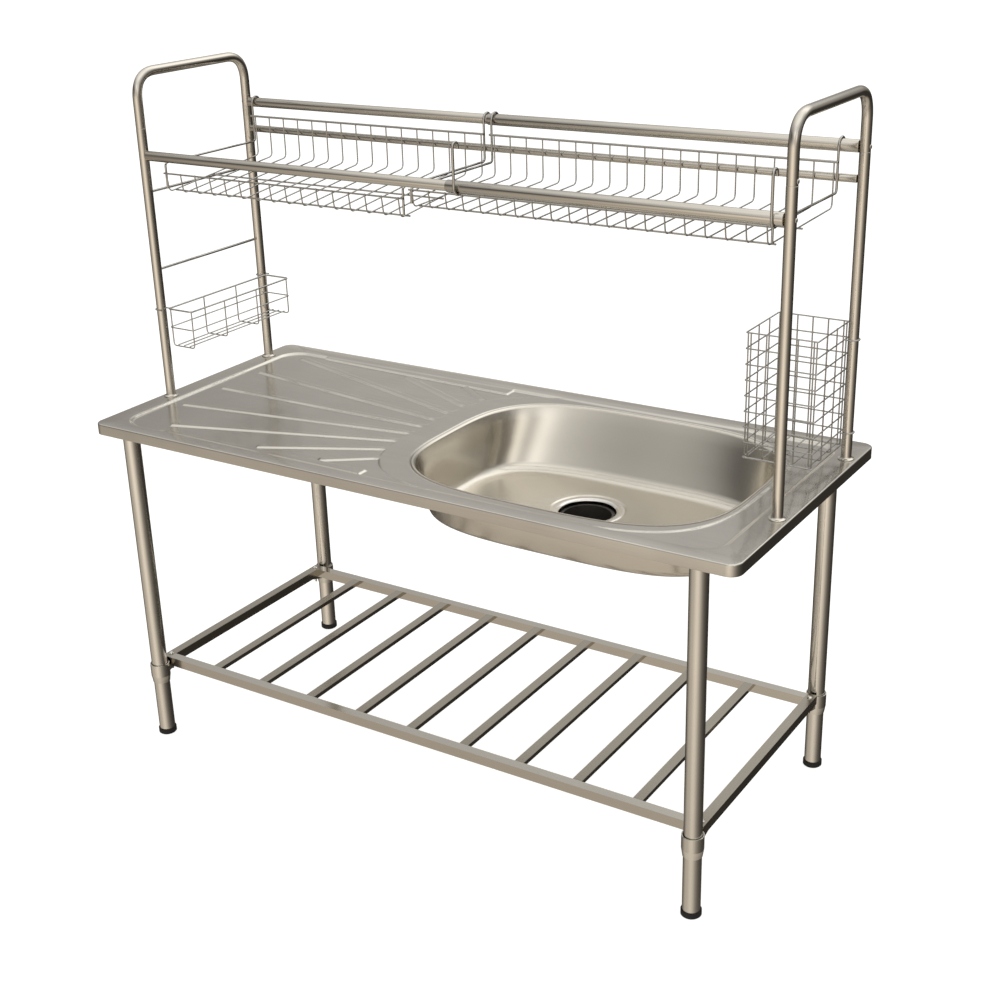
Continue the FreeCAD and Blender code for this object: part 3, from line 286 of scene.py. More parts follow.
SHEET_GREY = (0.60, 0.575, 0.53)
BOWL_GREY = (0.655, 0.62, 0.555)
TUBE_GREY = (0.62, 0.585, 0.53)
WORKTOP_STEEL = steel("worktop_steel", SHEET_GREY, 0.18, (6, 700, 900), bump=0.012, grain=0.25, cloud=0.11)
BOWL_STEEL = steel("bowl_steel", BOWL_GREY, 0.20, (8, 500, 700), bump=0.004, grain=0.07, cloud=0.03)
UPRIGHT_STEEL = steel("upright_steel", TUBE_GREY, 0.15, (700, 700, 9), bump=0.02, grain=0.2, cloud=0.05)
LEG_STEEL = steel("leg_steel", (0.70, 0.675, 0.625), 0.20, (500, 500, 9), bump=0.03, grain=0.2, cloud=0.05)
RAIL_STEEL = steel("rail_steel", (0.56, 0.53, 0.48), 0.13, (9, 700, 700), bump=0.02, grain=0.2, cloud=0.05)
CROSS_STEEL = steel("cross_steel", (0.42, 0.385, 0.33), 0.22, (700, 9, 700), bump=0.06)
BRIGHT_STEEL = steel("bright_steel", (0.75, 0.73, 0.70), 0.14, (300, 300, 300), bump=0.05)
WIRE_STEEL = steel("wire_steel", (0.46, 0.45, 0.43), 0.14, (200, 200, 200), bump=0)
FOOT_BLACK = plastic("foot_black", (0.008, 0.0075, 0.007), 0.5, specular=0.12)
WASTE_BLACK = plastic("waste_black", (0.012, 0.010, 0.008), 0.38)
SEAL_BLACK = plastic("seal_black", (0.02, 0.02, 0.02), 0.7)


# ---------------------------------------------------------------- building blocks

def centre(node):
    """Middle of a CAD node's box."""
    low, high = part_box(node)
    return [(low[k] + high[k]) / 2 for k in range(3)]


def piece(name, mesh, material, body, nodes=()):
    """Puts a finished mesh in the scene on the body it rides on, and hides the CAD nodes it stands for."""
    made = bpy.data.objects.new(name, mesh)
    bpy.context.collection.objects.link(made)
    mesh.materials.append(material)
    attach(made, body)
    if nodes:
        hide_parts(*nodes)
    return made


def mesh_from(name, builder, crease_degrees=40):
    mesh = bpy.data.meshes.new(name)
    bmesh.ops.recalc_face_normals(builder, faces=builder.faces)
    builder.to_mesh(mesh)
    builder.free()
    mesh.polygons.foreach_set("use_smooth", [True] * len(mesh.polygons))
    mesh.set_sharp_from_angle(angle=math.radians(crease_degrees))
    return mesh


def add_loop(builder, points):
    return [builder.verts.new(point) for point in points]


def bridge(builder, one, other):
    count = len(one)
    for index in range(count):
        following = (index + 1) % count
        builder.faces.new((one[index], one[following], other[following], other[index]))


def arc(steps, start, end):
    """Angles in radians along an arc given in degrees."""
    return [math.radians(start + (end - start) * step / steps) for step in range(steps + 1)]


CIRCLE_SIDES = 48


def circle(x, y, z, radius, sides=CIRCLE_SIDES):
    turns = [2 * math.pi * k / sides for k in range(sides)]
    return [(x + radius * math.cos(turn), y + radius * math.sin(turn), z) for turn in turns]


TOWARD = {
    "x": Matrix(((0, 0, 1), (1, 0, 0), (0, 1, 0))),
    "y": Matrix(((0, 1, 0), (0, 0, 1), (1, 0, 0))),
    "z": Matrix.Identity(3),
}


def add_lathe(builder, profile, at, along="z", sides=CIRCLE_SIDES, close=False):
    """Adds a turned form from (radius, height) corners; a radius of 0 closes the end to a point."""
    turn, origin = TOWARD[along], Vector(at)
    loops = []
    for radius, height in profile:
        if radius == 0:
            loops.append([builder.verts.new(origin + turn @ Vector((0, 0, height)))])
        else:
            ring = circle(0, 0, height, radius, sides)
            loops.append(add_loop(builder, [origin + turn @ Vector(point) for point in ring]))
    pairs = list(zip(loops, loops[1:])) + ([(loops[-1], loops[0])] if close else [])
    for one, other in pairs:
        if len(one) == 1 or len(other) == 1:
            tip, ring = (one[0], other) if len(one) == 1 else (other[0], one)
            for index in range(len(ring)):
                builder.faces.new((tip, ring[index], ring[(index + 1) % len(ring)]))
        else:
            bridge(builder, one, other)


def tube_profile(radius, wall, length, ease=0.6 * MM):
    """Wall of an open tube with eased outer edges."""
    inner = radius - wall
    return [(inner, 0), (radius - ease, 0), (radius, ease), (radius, length - ease), (radius - ease, length),
            (inner, length)]


def capped_profile(radius, length, ease=1 * MM):
    """Round bar or plugged tube with eased ends."""
    bevel = 0.3 * ease
    return [(0, 0), (radius - ease, 0), (radius - bevel, bevel), (radius, ease), (radius, length - ease),
            (radius - bevel, length - bevel), (radius - ease, length), (0, length)]


def straight_tube(name, node, along, material, wall=0):
    """Smooth tube in the box of a CAD tube, or with no wall given, one with plugged ends."""
    low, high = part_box(node)
    axis = "xyz".index(along)
    across = 0 if axis else 1
    radius, length = (high[across] - low[across]) / 2, high[axis] - low[axis]
    at = centre(node)
    at[axis] = low[axis]
    builder = bmesh.new()
    profile = tube_profile(radius, wall, length) if wall else capped_profile(radius, length)
    add_lathe(builder, profile, at, along, close=bool(wall))
    piece(name, mesh_from(name, builder), material, "bench", [node])


def rounded(corners, radius, steps=6):
    """Route through corners, each inner one turned into a bend of the given radius where there is room."""
    corners = [Vector(c) for c in corners]
    route = [corners[0]]
    for before, corner, after in zip(corners, corners[1:], corners[2:]):
        back, ahead = before - corner, after - corner
        half_turn = (math.pi - back.angle(ahead)) / 2
        reach = min(radius * math.tan(half_turn), back.length * 0.49, ahead.length * 0.49)
        start, end = corner + back.normalized() * reach, corner + ahead.normalized() * reach
        for step in range(steps + 1):
            t = step / steps
            route.append(start.lerp(corner, t).lerp(corner.lerp(end, t), t))
    route.append(corners[-1])
    return route


def sweep(builder, route, radius, sides):
    """Adds a round solid along a route, its ends closed."""
    side = None
    loops = []
    for index, point in enumerate(route):
        before, after = route[max(index - 1, 0)], route[min(index + 1, len(route) - 1)]
        ahead = (after - before).normalized()
        if side is None:
            side = ahead.orthogonal().normalized()
        side = (side - ahead * side.dot(ahead)).normalized()
        other = ahead.cross(side)
        loops.append(add_loop(builder, [point + radius * (math.cos(a) * side + math.sin(a) * other)
                                        for a in arc(sides, 0, 360)[:-1]]))
    for one, next_loop in zip(loops, loops[1:]):
        bridge(builder, one, next_loop)
    builder.faces.new(loops[0])
    builder.faces.new(loops[-1])


WIRE_SIDES, WIRE_CREASE = 12, 60


def wires(name, routes, body, node):
    """One piece from several (route, diameter) wires."""
    builder = bmesh.new()
    for route, diameter in routes:
        sweep(builder, [Vector(p) for p in route], diameter / 2, WIRE_SIDES)
    piece(name, mesh_from(name, builder, WIRE_CREASE), WIRE_STEEL, body, [node])


# ---------------------------------------------------------------- worktop and bowl

CORNER_STEPS = 14
GAUGE = 1.2 * MM
SHEET_CREASE = 50
TOP_LOW, TOP_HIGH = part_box("worktop")
TOP = TOP_HIGH[2]
RIM = {"left": 55 * MM, "right": 62 * MM, "front": 42 * MM, "back": 50 * MM}
RECESS_DROP = 5 * MM
RECESS_ROUND = 50 * MM
RECESS_WALL, RECESS_WALL_START = 10 * MM, 2 * MM
LAND_RISE, LAND_SLOPE = 2.2 * MM, 4 * MM
FLOOR_Z = TOP - RECESS_DROP
LAND_Z = FLOOR_Z + LAND_RISE
TOP_OUTLINE = (TOP_LOW[0], TOP_HIGH[0], TOP_LOW[1], TOP_HIGH[1])
TOP_ROUND, TOP_EDGE_ROUND, SKIRT_RING = 25 * MM, 3.5 * MM, 0.5 * MM
RECESS = (TOP_LOW[0] + RIM["left"], TOP_HIGH[0] - RIM["right"], TOP_LOW[1] + RIM["front"],
          TOP_HIGH[1] - RIM["back"])

# Squared ovals: middle x, middle y, half length, half width, squareness.
MOUTH = (316 * MM, 1 * MM, 370 * MM, 287 * MM, 3.3)
LAND = (288 * MM, 0, 411 * MM, 318 * MM, 3.5)
OVAL_POINTS = 220

# How far outside the mouth the grid stops, and how far out a border edge still counts as the mouth's.
MOUTH_GAP, MOUTH_REACH = 7 * MM, 15 * MM
GRID_MARGIN, FINE_STEP, COARSE_STEP = 9 * MM, 1.8 * MM, 3 * MM

FAN = {"x": 215 * MM, "y": 2 * MM, "step": 8.45, "turn": -0.3, "count": 9}
RIB = {"half_width": 11 * MM, "slope": 5 * MM, "rise": 3.4 * MM, "runout": 16 * MM,
       "side_margin": 30 * MM, "end_margin": 28 * MM, "short": {6: 855 * MM}}
LEDGE = {"left": RECESS[0] + 109 * MM, "right": -70 * MM, "narrow": 8 * MM, "wide": 30 * MM, "slope": 4 * MM}


def rounded_box(outline, grow, radius, z):
    """Points of a rounded rectangle, anticlockwise, as many on each corner."""
    x0, x1, y0, y1 = outline[0] - grow, outline[1] + grow, outline[2] - grow, outline[3] + grow
    r = radius + grow
    corners = ((x1 - r, y0 + r, -90), (x1 - r, y1 - r, 0), (x0 + r, y1 - r, 90), (x0 + r, y0 + r, 180))
    return [(x + r * math.cos(angle), y + r * math.sin(angle), z)
            for x, y, start in corners for angle in arc(CORNER_STEPS, start, start + 90)]


def oval(shape, inset_x, inset_y, z, squareness=None):
    """Points of a squared oval, drawn in by its two insets."""
    x, y, half_x, half_y, power = shape
    power = 2 / (squareness or power)
    points = []
    for step in range(OVAL_POINTS):
        turn = 2 * math.pi * (step + 0.5) / OVAL_POINTS
        c, s = math.cos(turn), math.sin(turn)
        points.append((x + (half_x - inset_x) * math.copysign(abs(c) ** power, c),
                       y + (half_y - inset_y) * math.copysign(abs(s) ** power, s), z))
    return points


def oval_inset(shape, x, y):
    """Roughly how far inside a squared oval each point lies; both floors only matter near its middle."""
    mid_x, mid_y, half_x, half_y, power = shape
    reach_x, reach_y = np.abs(x - mid_x) / half_x, np.abs(y - mid_y) / half_y
    size = (reach_x ** power + reach_y ** power) ** (1 / power)
    slope = np.hypot(reach_x ** (power - 1) / half_x, reach_y ** (power - 1) / half_y)
    steep = slope / np.maximum(size, 0.1) ** (power - 1)
    return (1 - size) / np.maximum(steep, 0.5)


def box_inset(outline, radius, x, y):
    """How far inside a rounded rectangle each point lies."""
    mid_x, mid_y = (outline[0] + outline[1]) / 2, (outline[2] + outline[3]) / 2
    over_x = np.abs(x - mid_x) - (outline[1] - outline[0]) / 2 + radius
    over_y = np.abs(y - mid_y) - (outline[3] - outline[2]) / 2 + radius
    outside = np.hypot(np.maximum(over_x, 0), np.maximum(over_y, 0))
    return radius - outside - np.minimum(np.maximum(over_x, over_y), 0)


def smooth_step(t):
    t = np.clip(t, 0, 1)
    return t * t * (3 - 2 * t)


NEARLY_STRAIGHT = 0.02


def rib_inset(x, y, number):
    """How far inside one rib's outline each point lies."""
    angle = math.radians(FAN["turn"] + FAN["step"] * ((FAN["count"] - 1) / 2 - number))
    cosine, sine = math.cos(angle), math.sin(angle)
    along = -((x - FAN["x"]) * cosine - (y - FAN["y"]) * sine)
    across = (x - FAN["x"]) * sine + (y - FAN["y"]) * cosine
    far = RIB["short"].get(number, FAN["x"] - RECESS[0] - RIB["side_margin"]) / cosine
    if sine > NEARLY_STRAIGHT:
        far = min(far, (RECESS[3] - RIB["end_margin"] - FAN["y"]) / sine)
    if sine < -NEARLY_STRAIGHT:
        far = min(far, (RECESS[2] + RIB["end_margin"] - FAN["y"]) / sine)
    return np.minimum.reduce([far - along, along, RIB["half_width"] - np.abs(across)])


def ledge_inset(x, y, wall, toward_bowl):
    """How far inside the raised strip along a long side of the recess each point lies."""
    share = np.clip((x - LEDGE["left"]) / (LEDGE["right"] - LEDGE["left"]), 0, 1)
    edge = wall + toward_bowl * (LEDGE["narrow"] + share * (LEDGE["wide"] - LEDGE["narrow"]))
    return np.minimum.reduce([(edge - y) * toward_bowl, x - LEDGE["left"], LEDGE["right"] - x])


def pressed_heights(x, y):
    """Height of the pressed sheet over the recess floor."""
    land = oval_inset(LAND, x, y)
    raised = LAND_RISE * smooth_step(land / LAND_SLOPE)
    rib_rise = LAND_RISE + (RIB["rise"] - LAND_RISE) * smooth_step(-land / RIB["runout"])
    for number in range(FAN["count"]):
        raised = np.maximum(raised, rib_rise * smooth_step(rib_inset(x, y, number) / RIB["slope"]))
    for wall, toward_bowl in ((RECESS[3], -1), (RECESS[2], 1)):
        inset = ledge_inset(x, y, wall, toward_bowl)
        raised = np.maximum(raised, RIB["rise"] * smooth_step(inset / LEDGE["slope"]))
    wall = smooth_step((RECESS_WALL_START - box_inset(RECESS, RECESS_ROUND, x, y)) / RECESS_WALL)
    return wall * RECESS_DROP + (1 - wall) * raised


def loop_edges(builder, loop):
    """The edges round a loop, made where there are none."""
    return [builder.edges.get((loop[k], loop[(k + 1) % len(loop)])) or
            builder.edges.new((loop[k], loop[(k + 1) % len(loop)])) for k in range(len(loop))]


def add_levels(builder, levels):
    """Skin through loops of as many points; gives back the first and last loops."""
    loops = [add_loop(builder, points) for points in levels]
    for one, other in zip(loops, loops[1:]):
        bridge(builder, one, other)
    return loops[0], loops[-1]


def fill(builder, edges):
    """Triangles between two closed runs of edges."""
    bmesh.ops.triangle_fill(builder, use_beauty=True, use_dissolve=False, edges=edges)


def thicken(made):
    """Gives a skin the sheet's thickness, on the side away from its normals."""
    solid = made.modifiers.new("sheet", "SOLIDIFY")
    solid.thickness = GAUGE
    solid.offset = -1


def add_pressing(builder):
    """Grid of the recess with all that is pressed in it, open over the bowl; gives back both its borders."""
    xs = np.concatenate([np.arange(RECESS[0] - GRID_MARGIN, MOUTH[0] - MOUTH[2], FINE_STEP),
                         np.arange(MOUTH[0] - MOUTH[2], RECESS[1] + GRID_MARGIN, COARSE_STEP)])
    ys = np.arange(RECESS[2] - GRID_MARGIN, RECESS[3] + GRID_MARGIN, FINE_STEP)
    grid_x, grid_y = np.meshgrid(xs, ys)
    heights = FLOOR_Z + pressed_heights(grid_x, grid_y)
    open_here = oval_inset(MOUTH, grid_x, grid_y) > -MOUTH_GAP
    closed = ~(open_here[:-1, :-1] | open_here[1:, :-1] | open_here[:-1, 1:] | open_here[1:, 1:])
    verts = {}

    def vert(r, c):
        if (r, c) not in verts:
            verts[r, c] = builder.verts.new((xs[c], ys[r], heights[r, c]))
        return verts[r, c]

    for r, c in zip(*np.nonzero(closed)):
        builder.faces.new((vert(r, c), vert(r, c + 1), vert(r + 1, c + 1), vert(r + 1, c)))
    border = [edge for edge in builder.edges if edge.is_boundary]
    hole = [edge for edge in border if oval_inset(MOUTH, *edge.verts[0].co.xy) > -MOUTH_REACH]
    at_hole = set(hole)
    return [edge for edge in border if edge not in at_hole], hole


def make_worktop():
    """Pressed sheet: skirt, rolled edge, flat rim and recess, open over the bowl."""
    builder = bmesh.new()
    outer, hole = add_pressing(builder)
    levels = [rounded_box(TOP_OUTLINE, 0, TOP_ROUND, TOP_LOW[2] + lift) for lift in (0, SKIRT_RING)]
    for angle in arc(6, 0, 90):
        levels.append(rounded_box(TOP_OUTLINE, -TOP_EDGE_ROUND * (1 - math.cos(angle)), TOP_ROUND,
                                  TOP - TOP_EDGE_ROUND * (1 - math.sin(angle))))
    last = add_levels(builder, levels)[1]
    mouth = add_loop(builder, oval(MOUTH, 0, 0, LAND_Z))
    fill(builder, outer + loop_edges(builder, last))
    fill(builder, hole + loop_edges(builder, mouth))
    thicken(piece("worktop_sheet", mesh_from("worktop_sheet", builder, SHEET_CREASE), WORKTOP_STEEL, "bench",
                  ["worktop"]))


LIP_ROUND = 9 * MM
BOWL_SQUARENESS = 3.5
END_DRAFT, SIDE_DRAFT = 3, 26
END_FLOOR_ROUND, SIDE_FLOOR_ROUND = 26 * MM, 38 * MM
FLANGE_LOW, FLANGE_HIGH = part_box("waste_flange")
BOWL_FLOOR_Z = FLANGE_HIGH[2] + 0.5 * MM
WASTE_X, WASTE_Y = centre("waste_flange")[:2]
FLANGE_RADIUS = (FLANGE_HIGH[0] - FLANGE_LOW[0]) / 2
SEAT_DROP = 3 * MM
WASTE_SIDES = 96
WASTE_HOLE_RADIUS = 71 * MM
HAIR = 0.01 * MM


def wall_levels(draft_degrees, floor_round):
    """(inset, height) down a bowl wall: lip, drafted wall and round to the floor."""
    draft = math.radians(draft_degrees)
    levels = [(LIP_ROUND * math.sin(angle), LAND_Z - LIP_ROUND * (1 - math.cos(angle)))
              for angle in arc(8, 0, 90 - draft_degrees)]
    wall_in, wall_z = levels[-1]
    centre_z = BOWL_FLOOR_Z + floor_round
    fall = wall_z - centre_z
    centre_in = wall_in + fall * math.tan(draft) + floor_round / math.cos(draft)
    for share in (0.25, 0.5, 0.75):
        levels.append((wall_in + fall * share * math.tan(draft), wall_z - fall * share))
    for angle in arc(12, draft_degrees, 90):
        levels.append((centre_in - floor_round * math.cos(angle), centre_z - floor_round * math.sin(angle)))
    return levels


def make_bowl():
    """Drawn bowl: steep at its ends, and with sides that slope in to the floor, where both drafts end."""
    builder = bmesh.new()
    side, end = wall_levels(SIDE_DRAFT, SIDE_FLOOR_ROUND), wall_levels(END_DRAFT, END_FLOOR_ROUND)
    rings = [oval(MOUTH, 0, 0, LAND_Z)]
    for inset_y, z in side[1:]:
        inset_x = np.interp(-z, [-level for _, level in end], [inset for inset, _ in end])
        if z < BOWL_FLOOR_Z + HAIR:
            inset_x = end[-1][0]
        drawn = MOUTH[4] + (BOWL_SQUARENESS - MOUTH[4]) * (LAND_Z - z) / (LAND_Z - BOWL_FLOOR_Z)
        rings.append(oval(MOUTH, inset_x, inset_y, z, drawn))
    floor_edge = add_levels(builder, rings)[1]
    seat = [(FLANGE_RADIUS + 5 * MM, 0), (FLANGE_RADIUS + 3.5 * MM, 0.4 * MM),
            (FLANGE_RADIUS + 1.5 * MM, 2.6 * MM), (FLANGE_RADIUS, SEAT_DROP), (WASTE_HOLE_RADIUS, SEAT_DROP)]
    first = add_levels(builder, [circle(WASTE_X, WASTE_Y, BOWL_FLOOR_Z - drop, radius, WASTE_SIDES)
                                 for radius, drop in seat])[0]
    fill(builder, loop_edges(builder, floor_edge) + loop_edges(builder, first))
    thicken(piece("bowl_sheet", mesh_from("bowl_sheet", builder, SHEET_CREASE), BOWL_STEEL, "bench",
                  ["sink_bowl"]))


def make_waste():
    """Bright flange ring; the cup, gasket and strainer keep their CAD forms."""
    builder = bmesh.new()
    seat_z = BOWL_FLOOR_Z - SEAT_DROP
    mouth = 61 * MM
    sleeve = WASTE_HOLE_RADIUS - 0.8 * MM
    low = FLANGE_LOW[2] - seat_z
    profile = [(FLANGE_RADIUS, 0), (FLANGE_RADIUS - 0.6 * MM, 1.4 * MM), (FLANGE_RADIUS - 2.5 * MM, 2.2 * MM),
               (FLANGE_RADIUS - 6 * MM, 2.5 * MM), (sleeve - 2 * MM, 2.4 * MM), (sleeve - 4.5 * MM, 1.2 * MM),
               (mouth + 2.2 * MM, -0.6 * MM), (mouth + 1.8 * MM, -1.6 * MM), (sleeve - 1.5 * MM, -2.4 * MM),
               (sleeve - 1.5 * MM, low), (sleeve, low), (sleeve, 0)]
    add_lathe(builder, profile, (WASTE_X, WASTE_Y, seat_z), sides=WASTE_SIDES, close=True)
    piece("waste_ring", mesh_from("waste_ring", builder), BRIGHT_STEEL, "bench",
          ["waste_flange"])


# ---------------------------------------------------------------- rack

HOOP_BEND = 60 * MM
TUBE_RADIUS, TUBE_WALL, LEG_WALL = 11 * MM, 1 * MM, 1.2 * MM
JOINT_GAP = 0.3 * MM
SCREW_RADIUS, SCREW_RISE, SCREW_SUNK = 4.5 * MM, 2.2 * MM, 0.4 * MM
SCREW_ABOVE_JOINT = 8 * MM
CORNERS = ("front_left", "front_right", "back_left", "back_right")


def make_post(node):
    """Tube with a flared foot; gives back where it stands and the height of its top."""
    low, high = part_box(node)
    radius = TUBE_RADIUS
    foot = (high[0] - low[0]) / 2
    length = high[2] - low[2]
    profile = [(radius - 2 * MM, 0), (foot - 0.8 * MM, 0), (foot, 0.8 * MM), (foot - 0.4 * MM, 1.8 * MM),
               (radius + 2.2 * MM, 3.2 * MM), (radius + 0.5 * MM, 4.6 * MM), (radius, 6.5 * MM),
               (radius, length - 0.4 * MM), (radius - 0.4 * MM, length), (radius - TUBE_WALL, length)]
    builder = bmesh.new()
    at = (*centre(node)[:2], low[2])
    add_lathe(builder, profile, at, close=True)
    piece(node + "_tube", mesh_from(node + "_tube", builder), UPRIGHT_STEEL, "bench", [node])
    return Vector(at), high[2]


def make_hoop(side, front, back, joint_z):
    """Bent tube over two posts, with its reduced ends inside them."""
    node = side + "_hoop"
    low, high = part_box(node)
    radius = (high[0] - low[0]) / 2
    top = high[2] - radius
    x = (low[0] + high[0]) / 2
    foot_z = joint_z + JOINT_GAP
    corners = [(x, front.y, foot_z), (x, front.y, top), (x, back.y, top), (x, back.y, foot_z)]
    builder = bmesh.new()
    sweep(builder, rounded(corners, HOOP_BEND, 16), radius, CIRCLE_SIDES)
    for end in (front, back):
        add_lathe(builder, [(0, low[2] - joint_z), (radius - 1.6 * MM, low[2] - joint_z),
                            (radius - 1.3 * MM, 1 * MM), (0, 1 * MM)], (x, end.y, joint_z))
    piece(node + "_tube", mesh_from(node + "_tube", builder), UPRIGHT_STEEL, "bench", [node])


def dome_screw(builder, at, outward):
    """Domed screw head whose flat side lies on a tube, facing along X one way or the other."""
    profile = [(0, 0), (1, 0), (1, 0.3), (0.86, 0.62), (0.5, 0.92), (0, 1)]
    add_lathe(builder, [(SCREW_RADIUS * radius, outward * SCREW_RISE * height) for radius, height in profile],
              at, "x", 20)


def make_rack():
    posts = {}
    for name in CORNERS:
        posts[name], joint_z = make_post(name + "_post")
    for side in ("left", "right"):
        make_hoop(side, posts["front_" + side], posts["back_" + side], joint_z)
    for node in ("front_rail_left", "front_rail_right", "upper_back_rail_left", "upper_back_rail_right",
                 "lower_back_rail"):
        straight_tube(node + "_tube", node, "x", RAIL_STEEL)
    builder = bmesh.new()
    for side, outward in (("left", -1), ("right", 1)):
        front, back = posts["front_" + side], posts["back_" + side]
        for post, z in ((front, joint_z + SCREW_ABOVE_JOINT), (front, centre("front_rail_left")[2]),
                        (back, centre("upper_back_rail_left")[2])):
            dome_screw(builder, (post.x + outward * (TUBE_RADIUS - SCREW_SUNK), post.y, z), outward)
    piece("rack_screws", mesh_from("rack_screws", builder), BRIGHT_STEEL, "bench")
    for node in ("upper_rung", "lower_rung"):
        straight_tube(node + "_wire", node, "y", WIRE_STEEL)


def make_legs():
    for name in CORNERS:
        straight_tube(name + "_leg_tube", name + "_leg", "z", LEG_STEEL, LEG_WALL)


# ---------------------------------------------------------------- wire goods

FINE, MIDDLE, STRONG = 3 * MM, 4 * MM, 5 * MM
DISH = {"bend": 12 * MM, "lip": 6 * MM, "floor_wires": (26 * MM, 150 * MM)}
BRACKET = {"arm_drop": 90 * MM, "tail": 8 * MM, "bend": 9 * MM}
SIDE_BASKET = {"from_post": 14.3 * MM, "length": 350 * MM, "bend": 8 * MM}
CUTLERY = {"width": 150 * MM, "length": 164 * MM, "rings": 9, "ring_bend": 3 * MM, "bend": 4 * MM}
HOOK_WIRE, HOOK_CURL = 6 * MM, 9 * MM


def make_dish_basket(side, count, back_floor, front_floor, lip):
    """Basket of bent wires side by side, held by two straight ones at its ends and two under its floor."""
    node = "dish_basket_" + side
    low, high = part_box(node)
    inset = 2 * STRONG
    first, last = low[0] + inset, high[0] - inset
    back_y, top_z = high[1] - FINE / 2, high[2] - STRONG / 2
    front_y, lip_y = low[1] + FINE / 2 + DISH["lip"], low[1] + FINE / 2
    routes = []
    for number in range(count):
        x = first + (last - first) * number / (count - 1)
        corners = [(x, back_y, top_z), (x, back_y, back_floor), (x, front_y, front_floor), (x, lip_y, lip)]
        routes.append((rounded(corners, DISH["bend"]), FINE))
    slope = (back_floor - front_floor) / (back_y - front_y)
    straight = [(back_y - STRONG / 2 - FINE / 2, top_z, STRONG, 0),
                (lip_y + FINE / 2 + MIDDLE / 2, lip - FINE, MIDDLE, 0)]
    for run in DISH["floor_wires"]:
        straight.append((front_y + run, front_floor + slope * run - FINE / 2 - MIDDLE / 2, MIDDLE, STRONG))
    for y, z, wire, reach in straight:
        routes.append(([(low[0] + reach, y, z), (high[0] - reach, y, z)], wire))
    wires(node + "_wires", routes, "dish_" + side, node)


def make_brackets(side):
    """Two wires over the upper back rail that carry a dish basket."""
    node = "basket_brackets_" + side
    low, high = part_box(node)
    rail_y, rail_z = centre("upper_back_rail_" + side)[1:]
    reach = high[1] - STRONG / 2 - rail_y
    hook_y = rail_y - reach
    arm_z = rail_z - BRACKET["arm_drop"]
    arm_end = low[1] + STRONG / 2
    routes = []
    for x in (low[0] + STRONG / 2, high[0] - STRONG / 2):
        over = [(x, rail_y + reach * math.cos(a), rail_z + reach * math.sin(a)) for a in arc(12, 0, 180)]
        corners = [over[-1], (x, hook_y, arm_z), (x, arm_end, arm_z), (x, arm_end, low[2])]
        tail = (x, rail_y + reach, rail_z - BRACKET["tail"])
        routes.append(([tail] + over[:-1] + rounded(corners, BRACKET["bend"]), STRONG))
    wires(node + "_wires", routes, "dish_" + side, node)


def wire_frame(x0, x1, y0, y1, z, diameter, bend):
    """Closed rectangular ring of wire, as one route that meets itself half way along its front."""
    middle = (x0 + x1) / 2
    corners = [(middle, y0, z), (x1, y0, z), (x1, y1, z), (x0, y1, z), (x0, y0, z), (middle, y0, z)]
    return rounded(corners, bend), diameter


def post_loop(x_wire, post, radius, z, diameter):
    """Spring clip from a basket round the far side of a post."""
    outward = 1 if post.x > x_wire else -1
    half_turn = [(post.x + outward * radius * math.cos(a), post.y + radius * math.sin(a), z)
                 for a in arc(16, -90, 90)]
    return [(x_wire, post.y - radius, z)] + half_turn + [(x_wire, post.y + radius, z)], diameter


def post_centre(name):
    return Vector(centre(name + "_post"))


CLIP_RADIUS = 12.8 * MM


def make_side_basket():
    """Small basket of two rings, four bent wires and three under them, clipped to the left posts."""
    low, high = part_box("side_basket")
    x0, x1 = post_centre("front_left").x + SIDE_BASKET["from_post"], high[0] - MIDDLE / 2
    y1 = post_centre("back_left").y - FINE / 2
    y0 = y1 - SIDE_BASKET["length"]
    top, floor = high[2] - MIDDLE / 2, low[2] + FINE / 2
    bend = SIDE_BASKET["bend"]
    routes = [wire_frame(x0, x1, y0, y1, top, MIDDLE, bend),
              wire_frame(x0, x1, y0, y1, (top + floor) / 2, FINE, bend)]
    inside = (MIDDLE + FINE) / 2
    for number in range(4):
        y = y0 + inside + (y1 - y0 - 2 * inside) * number / 3
        corners = [(x0 + inside, y, top), (x0 + inside, y, floor), (x1 - inside, y, floor),
                   (x1 - inside, y, top)]
        routes.append((rounded(corners, bend), FINE))
    for number in range(3):
        x = x0 + (x1 - x0) * (number + 1) / 4
        routes.append(([(x, y0 + FINE, floor + FINE), (x, y1 - FINE, floor + FINE)], FINE))
    for name in ("front_left", "back_left"):
        routes.append(post_loop(x0 - MIDDLE / 2, post_centre(name), CLIP_RADIUS, top, FINE))
    wires("side_basket_wires", routes, "side_rack", "side_basket")


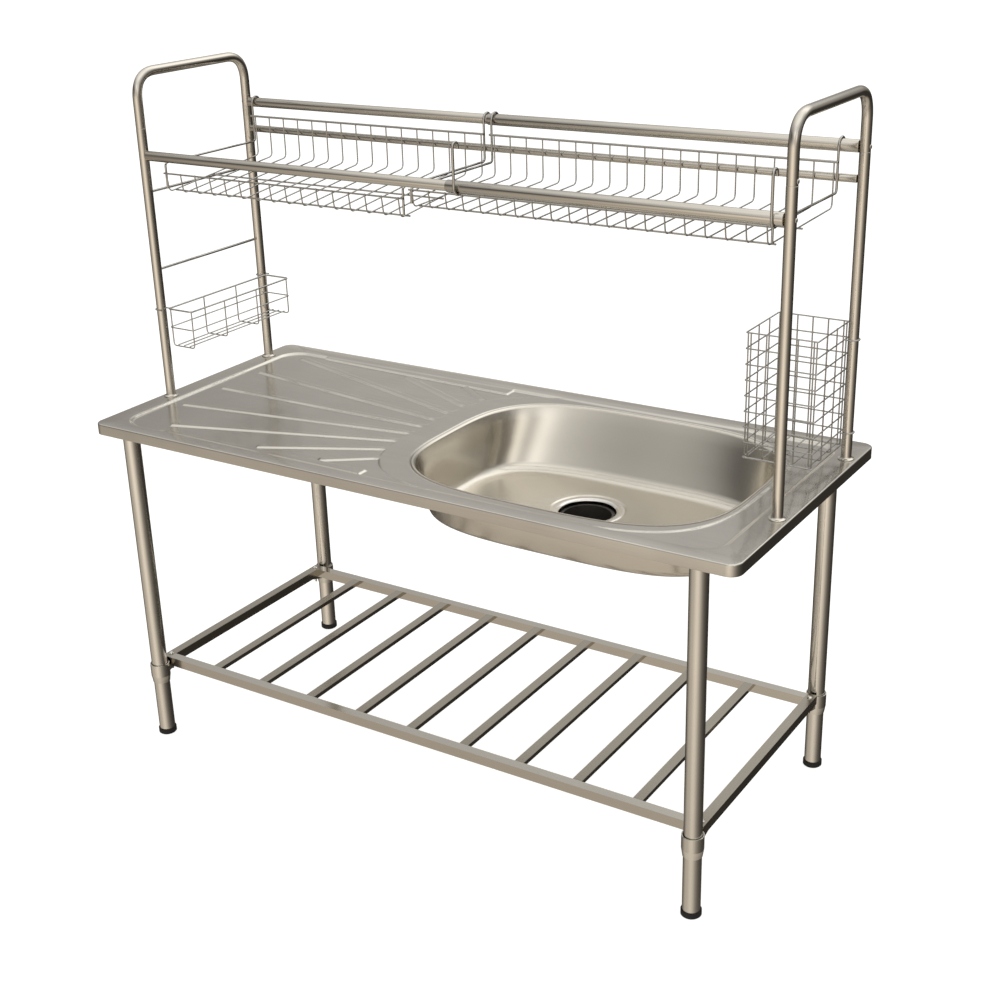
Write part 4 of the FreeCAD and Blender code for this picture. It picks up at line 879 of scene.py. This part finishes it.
def make_cutlery_basket():
    """Deep basket of rings and bent wires both ways, clipped to the right back post."""
    low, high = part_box("cutlery_basket")
    post = post_centre("back_right")
    x0, y0 = low[0] + FINE / 2, low[1] + FINE / 2
    x1, y1 = x0 + CUTLERY["width"], y0 + CUTLERY["length"]
    top, floor = high[2] - FINE / 2, low[2] + FINE / 2
    gap = (top - floor) / (CUTLERY["rings"] - 1)
    routes = [wire_frame(x0, x1, y0, y1, floor + gap * number, FINE, CUTLERY["ring_bend"])
              for number in range(CUTLERY["rings"])]
    for number in range(4):
        y = y0 + FINE + (y1 - y0 - 2 * FINE) * number / 3
        corners = [(x0 + FINE, y, top), (x0 + FINE, y, floor), (x1 - FINE, y, floor), (x1 - FINE, y, top)]
        routes.append((rounded(corners, CUTLERY["bend"]), FINE))
    for number in range(5):
        x = x0 + 3 * FINE + (x1 - x0 - 6 * FINE) * number / 4
        corners = [(x, y0 + FINE, top), (x, y0 + FINE, floor + FINE), (x, y1 - FINE, floor + FINE),
                   (x, y1 - FINE, top)]
        routes.append((rounded(corners, CUTLERY["bend"]), FINE))
    for z in (top - gap, floor + gap):
        routes.append(post_loop(x1 + FINE / 2, post, CLIP_RADIUS, z, FINE))
    wires("cutlery_basket_wires", routes, "cutlery_rack", "cutlery_basket")


def make_rail_hooks():
    """Two upright hooks that wrap round the front rail and curl over at their tops."""
    low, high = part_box("rail_hooks")
    rail_low, rail_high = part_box("front_rail_right")
    rail_y, rail_z = centre("front_rail_right")[1:]
    wrap = (rail_high[2] - rail_low[2]) / 2 + HOOK_WIRE / 2
    front, top = rail_y - wrap, high[2] - HOOK_WIRE / 2
    curl = HOOK_CURL
    routes = []
    for x in (low[0] + HOOK_WIRE / 2, high[0] - HOOK_WIRE / 2):
        under = [(x, rail_y + wrap * math.cos(a), rail_z + wrap * math.sin(a)) for a in arc(8, -60, -180)]
        over = [(x, front + curl + curl * math.cos(a), top - curl + curl * math.sin(a))
                for a in arc(10, 180, 0)]
        tip = [(x, front + 2 * curl, top - curl * 1.6)]
        routes.append((under + over + tip, HOOK_WIRE))
    wires("rail_hook_wires", routes, "bench", "rail_hooks")


# ---------------------------------------------------------------- the whole bench

def paint_nodes():
    """Materials for the CAD nodes that show as they are."""
    looks = {"shelf_front_rail": RAIL_STEEL, "shelf_back_rail": RAIL_STEEL, "leg_collars": LEG_STEEL,
             "leg_sockets": LEG_STEEL, "collar_bolts": BRIGHT_STEEL, "post_bolts": BRIGHT_STEEL,
             "foot_caps": FOOT_BLACK, "waste_cup": WASTE_BLACK, "strainer_basket": WASTE_BLACK,
             "waste_gasket": SEAL_BLACK}
    for node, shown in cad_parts.items():
        look = looks.get(node, CROSS_STEEL if node.startswith("shelf_") else None)
        if look:
            shown.data.materials.clear()
            shown.data.materials.append(look)


make_camera()
make_world()
make_floor()
make_lights()
bpy.context.scene.view_settings.view_transform = "Standard"
make_worktop()
make_bowl()
make_waste()
make_legs()
make_rack()
make_dish_basket("left", count=16, back_floor=1.318, front_floor=1.286, lip=1.330)
make_dish_basket("right", count=20, back_floor=1.320, front_floor=1.312, lip=1.350)
make_brackets("left")
make_brackets("right")
make_side_basket()
make_cutlery_basket()
make_rail_hooks()
paint_nodes()
